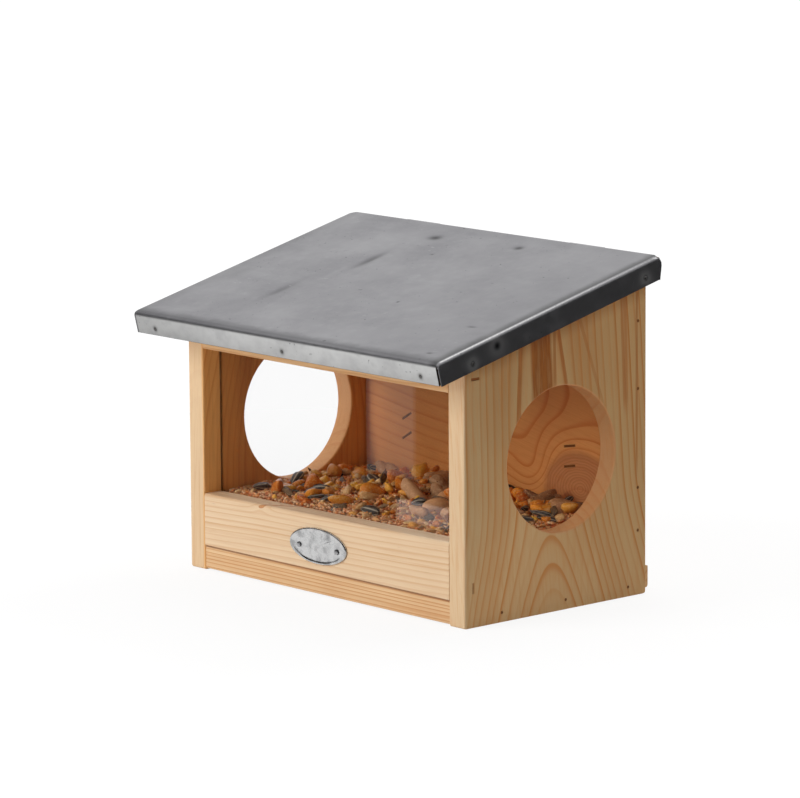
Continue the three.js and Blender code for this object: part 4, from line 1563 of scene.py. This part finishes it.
@dataclass
class Badge:
    """The oval plate on the front board: a bare, softly beaten face inside a rolled rim."""

    width: float = 46.0 * MM
    height: float = 19.6 * MM
    centre: Point = (-3.7 * MM, BOX_FRONT, 27.3 * MM)
    nail_offsets: tuple[float, float] = (-15.25, 15.25)
    rim_share: float = 0.87
    steel: PlainSteel = PlainSteel("badge_steel", srgb(206, 206, 206), srgb(128, 129, 131), 0.6, 0.2)

    def _beaten(self, x: float, z: float, share: float) -> float:
        """How far the plate's face is beaten out at a point.

        Args:
            x: Millimetres right of the plate's middle.
            z: Millimetres above it.
            share: How far out from the middle, from 0 to 1.

        Returns:
            The millimetres, less round the two nails.
        """
        beaten = 0.08 * math.sin(x * 1.3 + 2 * math.sin(z)) * math.sin(z * 1.5 + 1)
        beaten *= min(1.0, max(0.0, (0.84 - share) / 0.15))
        for offset in self.nail_offsets:
            far = math.hypot(x - offset, z + 1.0)
            beaten -= 0.2 * math.exp(-((far / 2.0) ** 2))
        return beaten

    def build(self) -> bpy.types.Object:
        """Makes the plate.

        Returns:
            The plate, riding the box.
        """
        sides = 192
        profile = [
            (1.0, 0.1), (1.0, 0.62), (0.99, 0.96), (0.97, 1.2), (0.945, 1.28), (0.92, 1.28),
            (0.895, 1.21), (0.87, 1.1), (0.845, 1.0), (0.82, 0.93), (0.79, 0.89), (0.72, 0.88),
            (0.6, 0.9), (0.48, 0.93), (0.36, 0.97), (0.24, 1.0), (0.12, 1.01),
        ]
        points = []
        for share, proud in profile:
            for k in range(sides):
                a = 2 * math.pi * k / sides
                x = share * self.width / 2 * math.cos(a)
                z = share * self.height / 2 * math.sin(a)
                if share > self.rim_share:
                    beaten = 0.04 * math.sin(9 * a + 1.0) * (proud > 0.9)
                else:
                    beaten = self._beaten(x / MM, z / MM, share)
                points.append(Vector(self.centre) + Vector((x, -(proud + beaten) * MM, z)))
        faces = capped_faces(len(profile), sides)
        piece = outward(mesh_piece("oval_badge", points, faces, self.steel.material()))
        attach(piece, "box")
        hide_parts("badge")
        return piece


@dataclass
class Fittings:
    """Nails, staples, screws, hinges and hangers, which keep their own solids."""

    steels: tuple[tuple[PlainSteel, tuple[str, ...]], ...] = (
        (
            PlainSteel("plated_steel", srgb(178, 178, 180), srgb(116, 114, 112)),
            ("hinge_", "hanger_", "badge_nail"),
        ),
        (
            PlainSteel("nail_wire", srgb(132, 80, 30), srgb(84, 48, 20), 0.6, 0.6, 0.1),
            ("back_wall_nail", "floor_nail", "batten_staple", "spacer_nail"),
        ),
        (
            PlainSteel("rusty_wire", srgb(150, 88, 32), srgb(96, 54, 20), 0.5, 0.6, 0.1),
            ("frame_staple_1", "frame_staple_3"),
        ),
        (
            PlainSteel("sunk_wire", srgb(186, 140, 90), srgb(140, 98, 58), 0.5, 0.6, 0.1),
            ("frame_staple_2", "frame_staple_4"),
        ),
    )

    def build(self, nodes: dict[str, bpy.types.Object]) -> None:
        """Dresses the metal pieces.

        Args:
            nodes: The part's own pieces, by name.
        """
        for steel, starts in self.steels:
            finish = steel.material()
            for name, piece in nodes.items():
                if name.startswith(starts):
                    dress(piece, finish)


class SeedShape(Enum):
    """The outline of a grain, as how its girth changes along it."""

    ROUND = (0.0, 0.0)
    DROP = (-0.4, 0.0)
    WEDGE = (0.3, 0.0)
    WAISTED = (0.0, 0.25)


@dataclass(frozen=True)
class Spot:
    """A part of the heap where a kind of grain gathers, in shares of the heap's width and depth."""

    across: float
    deep: float
    spread: float
    weight: float = 1.0


@dataclass(frozen=True)
class Seed:
    """One kind of grain in the feed; its size is in millimetres."""

    name: str
    shape: SeedShape
    size: Point
    count: int
    coat: Coat
    sides: int = 8
    rings: int = 5
    lift: float = 0.3
    spread: float = 0.12
    tilt: float = 0.4
    lumps: float = 0.1
    even: float = 1.0
    spots: tuple[Spot, ...] = ()

    def grain(self) -> tuple[np.ndarray, np.ndarray]:
        """One grain of unit size at the origin, lying along X.

        Returns:
            Its points, and how far round each of them is, from 0 to 1 and back.
        """
        taper, waist = self.shape.value
        angle = np.linspace(0, math.pi, self.rings)
        x = -np.cos(angle)
        girth = np.maximum(np.sin(angle), 0.05) * (1 + taper * x - waist * (1 - x * x))
        turn = 2 * math.pi * np.arange(self.sides) / self.sides
        y, z = np.outer(girth, np.cos(turn)).ravel(), np.outer(girth, np.sin(turn)).ravel()
        points = np.stack([np.repeat(x, self.sides), y, z], -1)
        share = np.abs((np.arange(self.sides) / self.sides * 2) % 2 - 1)
        return points / 2, np.tile(share, self.rings)

    def places(self, rng: np.random.Generator) -> np.ndarray:
        """Where the grains lie, in shares of the heap.

        Args:
            rng: The source of chance.

        Returns:
            A row of two shares for each grain.
        """
        spots = self.spots or (Spot(0.5, 0.5, 9.0),)
        tries = rng.uniform(0, 1, (self.count * 12, 2))
        odds = np.full(len(tries), 0.0 if self.spots else 1.0)
        for spot in spots:
            far = (tries[:, 0] - spot.across) ** 2 + (tries[:, 1] - spot.deep) ** 2
            odds = np.maximum(odds, spot.weight * np.exp(-far / spot.spread**2))
        if self.spots:
            odds = np.maximum(odds, 1 - self.even)
        return tries[rng.uniform(0, 1, len(tries)) < odds][: self.count]


def turned_about(axis: int, angle: np.ndarray) -> np.ndarray:
    """Turns about one axis.

    Args:
        axis: 0 for X, 1 for Y and 2 for Z.
        angle: The angles in radians.

    Returns:
        A turning matrix for each angle.
    """
    turns = np.zeros((len(angle), 3, 3))
    first, second = (axis + 1) % 3, (axis + 2) % 3
    turns[:, axis, axis] = 1.0
    turns[:, first, first] = turns[:, second, second] = np.cos(angle)
    turns[:, second, first] = np.sin(angle)
    turns[:, first, second] = -np.sin(angle)
    return turns


def turned(rng: np.random.Generator, count: int, tilt: float) -> np.ndarray:
    """Random turns of grains that lie roughly flat.

    Args:
        rng: The source of chance.
        count: How many.
        tilt: How far they lean, in radians.

    Returns:
        A turning matrix for each.
    """
    yaw = rng.uniform(0, 2 * math.pi, count)
    pitch = rng.normal(0, 0.6 * tilt, count)
    roll = rng.normal(0, tilt, count)
    return turned_about(2, yaw) @ turned_about(1, pitch) @ turned_about(0, roll)


@dataclass
class FeedBed:
    """The heap of mixed feed: a grainy bed with loose seeds, maize and nuts lying on it."""

    low: Vector = field(default_factory=Vector)
    high: Vector = field(default_factory=Vector)
    rise: float = 7.0 * MM
    side_rise: float = 3.0 * MM
    level: float = 29.0 * MM
    sunk: float = 0.9 * MM
    bed_chance: int = 3
    grain_chance: int = 11

    def height(self, u: np.ndarray, v: np.ndarray) -> np.ndarray:
        """The heap's surface.

        Args:
            u: Shares of the heap's width.
            v: Shares of its depth.

        Returns:
            The heights above the ground.
        """
        main = np.exp(-(((u - 0.44) / 0.2) ** 2) - ((v - 0.72) / 0.34) ** 2)
        side = np.exp(-(((u - 0.9) / 0.12) ** 2) - ((v - 0.8) / 0.25) ** 2)
        return self.low.z + self.level + self.rise * main + self.side_rise * side

    @staticmethod
    def seeds() -> tuple[Seed, ...]:
        """The kinds of grain, from the finest to the largest.

        Returns:
            The kinds.
        """
        millet = Coat(
            "millet_skin",
            (
                srgb(222, 122, 62), srgb(244, 176, 108), srgb(196, 98, 50), srgb(248, 210, 160),
                srgb(176, 94, 52),
            ),
            srgb(252, 228, 186), 0.35,
        )
        wheat = Coat(
            "wheat_skin", (srgb(220, 162, 98), srgb(192, 126, 70), srgb(236, 196, 138)),
            srgb(152, 100, 56), 0.3,
        )
        maize = Coat(
            "maize_skin", (srgb(236, 146, 30), srgb(206, 102, 28), srgb(244, 184, 66), srgb(190, 88, 28)),
            srgb(250, 222, 150), 0.4, roughness=0.3,
        )
        shell = Coat(
            "sunflower_shell", (srgb(46, 41, 38), srgb(70, 61, 54), srgb(34, 30, 29)),
            srgb(186, 172, 150), 0.12, stripes=True, roughness=0.45,
        )
        nut = Coat(
            "nut_skin", (srgb(158, 104, 66), srgb(206, 150, 102), srgb(124, 78, 48), srgb(190, 140, 98)),
            srgb(236, 198, 150), 0.45, relief=0.5 * MM,
        )
        husk = Coat(
            "husk_skin", (srgb(84, 62, 44), srgb(134, 102, 68), srgb(50, 38, 30)),
            srgb(186, 160, 120), 0.4,
        )
        chip = Coat("kernel_flesh", (srgb(222, 178, 118), srgb(198, 142, 84)), srgb(246, 224, 180), 0.55)
        crowd = (Spot(0.62, 0.72, 0.26), Spot(0.9, 0.3, 0.24), Spot(0.97, 0.85, 0.2, 0.8))
        loose = (Spot(0.2, 0.4, 0.3, 0.6), Spot(0.6, 0.65, 0.3), Spot(0.95, 0.6, 0.3))
        dark_heap = (Spot(0.35, 0.35, 0.4), Spot(0.92, 0.5, 0.3))
        return (
            Seed(
                "feed_millet", SeedShape.ROUND, (1.9, 1.7, 1.6), 5600, millet, sides=5, rings=4,
                lift=0.4, lumps=0.06,
            ),
            Seed("feed_wheat", SeedShape.ROUND, (5.8, 2.4, 2.1), 320, wheat, sides=7, lift=0.6),
            Seed(
                "feed_cracked_maize", SeedShape.WEDGE, (4.6, 3.5, 2.8), 160, maize, rings=6,
                lift=0.7, spread=0.3, tilt=0.8, lumps=0.4,
            ),
            Seed(
                "feed_maize", SeedShape.WEDGE, (9.8, 7.8, 4.8), 74, maize, sides=12, rings=8,
                lift=0.9, spread=0.14, tilt=0.6, lumps=0.2, even=0.7, spots=loose,
            ),
            Seed(
                "feed_sunflower", SeedShape.DROP, (13.6, 6.0, 3.5), 36, shell, sides=16, rings=9,
                lift=1.1, tilt=0.45, lumps=0.05, even=0.5, spots=dark_heap,
            ),
            Seed(
                "feed_nuts", SeedShape.WAISTED, (17.5, 12.5, 9.4), 32, nut, sides=18, rings=12,
                lift=0.45, spread=0.16, tilt=0.5, lumps=0.36, even=0.95, spots=crowd,
            ),
            Seed(
                "feed_chips", SeedShape.ROUND, (6.8, 5.0, 3.2), 70, chip, sides=10, rings=7,
                lift=0.9, spread=0.25, tilt=0.6, lumps=0.45,
            ),
            Seed(
                "feed_husks", SeedShape.DROP, (8.6, 4.2, 1.1), 40, husk, rings=6,
                lift=1.2, spread=0.2, tilt=0.7, lumps=0.25,
            ),
        )

    def build(self) -> None:
        """Makes the bed and the grains."""
        self.low, self.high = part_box("feed_mix")
        self._bed()
        rng = np.random.default_rng(self.grain_chance)
        for seed in self.seeds():
            self._scatter(seed, rng)

    def _bed(self) -> None:
        """Makes the solid heap under the loose grains, with a grainy top."""
        rng = np.random.default_rng(self.bed_chance)
        nx, ny = 150, 80
        u, v = np.meshgrid(np.linspace(0, 1, nx), np.linspace(0, 1, ny), indexing="ij")
        rough = np.clip(rng.normal(0.0, 0.45, u.shape), -0.9, 0.9) * MM
        size = self.high - self.low
        z = self.height(u, v) - self.sunk + rough
        top = np.stack([self.low.x + u * size.x, self.low.y + v * size.y, z], -1).reshape(-1, 3)
        faces = grid_faces(nx, ny).reshape(-1, 4).tolist()
        rim = [k * ny for k in range(nx)] + [(nx - 1) * ny + k for k in range(1, ny)]
        rim += [k * ny + ny - 1 for k in range(nx - 2, -1, -1)] + list(range(ny - 2, 0, -1))
        foot = top[rim].copy()
        foot[:, 2] = self.low.z
        base, n = len(top), len(rim)
        faces += [[rim[k], rim[(k + 1) % n], base + (k + 1) % n, base + k] for k in range(n)]
        faces.append([base + k for k in range(n)])
        piece = outward(mesh_piece("feed_bed", np.concatenate([top, foot]), faces, self._bed_finish()))
        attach(piece, "box")
        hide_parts("feed_mix")

    @staticmethod
    def _bed_finish() -> bpy.types.Material:
        """The look of packed small seed.

        Returns:
            The material.
        """
        g = Graph("packed_seed")
        far, tone = g.cells(g.place(), 430.0)
        hue = g.ramp(
            tone,
            (
                (0.0, srgb(160, 78, 40)), (0.3, srgb(208, 108, 54)), (0.55, srgb(230, 146, 82)),
                (0.8, srgb(242, 194, 138)), (1.0, srgb(140, 92, 62)),
            ),
        )
        # Painted shade in the hollows between the grains.
        colour = g.mix(far.ease(0.45, 0.85) * 0.7, hue, srgb(78, 42, 24))
        shader = g.principled(Base_Color=colour, Roughness=0.7, Normal=g.bump(1 - far, 0.9 * MM, 0.9))
        return g.finish(shader)

    def _scatter(self, seed: Seed, rng: np.random.Generator) -> None:
        """Lays the grains of one kind on the bed.

        Args:
            seed: The kind.
            rng: The source of chance.
        """
        unit, turns = seed.grain()
        at = seed.places(rng)
        count = len(at)
        waves = rng.normal(0, 4.5, (count, 3, 3))
        phase = rng.uniform(0, 2 * math.pi, (count, 1, 3))
        lumps = 1 + seed.lumps * np.cos(np.einsum("pi,nij->npj", unit, waves) + phase).mean(-1) * 1.7
        size = np.array(seed.size) * MM * np.clip(1 + rng.normal(0, seed.spread, (count, 1)), 0.7, 1.3)
        local = unit[None] * size[:, None, :] * lumps[..., None]
        local = np.einsum("nij,npj->npi", turned(rng, count, seed.tilt), local)
        reach = np.abs(local).max(1)
        centre = np.array(self.low) + reach
        room = np.array(self.high - self.low) - 2 * reach
        centre[:, :2] += at * room[:, :2]
        lift = seed.lift * rng.uniform(0.1, 1.0, count) * reach[:, 2]
        centre[:, 2] = self.height(at[:, 0], at[:, 1]) + lift
        points = (local + centre[:, None, :]).reshape(-1, 3)
        quads = ring_faces(seed.rings, seed.sides)
        faces = (quads[None] + (np.arange(count) * len(unit))[:, None, None]).reshape(-1, 4)
        piece = mesh_piece(seed.name, points, faces, seed.coat.material())
        attribute = piece.data.attributes.new("round_share", "FLOAT", "POINT")
        attribute.data.foreach_set("value", np.tile(turns, count).astype(np.float32))
        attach(piece, "box")
        LOG.info("%s: %d grains, %d faces", seed.name, count, len(faces))


def main() -> None:
    """Builds every sub-assembly in order."""
    logging.basicConfig(level=logging.INFO, format="%(name)s: %(message)s")
    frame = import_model()
    nodes = frame["nodes"]
    Studio().build()
    LOG.info("studio: camera, lamps, floor and cards")
    Carcass().build(nodes)
    LOG.info("carcass: boards dressed")
    dress(nodes["window_pane"], ClearSheet().material())
    LOG.info("window: clear sheet dressed")
    Fittings().build(nodes)
    LOG.info("fittings: hinges, hangers and fasteners dressed")
    RoofSheet().build()
    SheetNails().build()
    LOG.info("roof: folded sheet and its nails")
    Badge().build()
    LOG.info("badge: plate")
    FeedBed().build()
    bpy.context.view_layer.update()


if __name__ == "__main__":
    main()
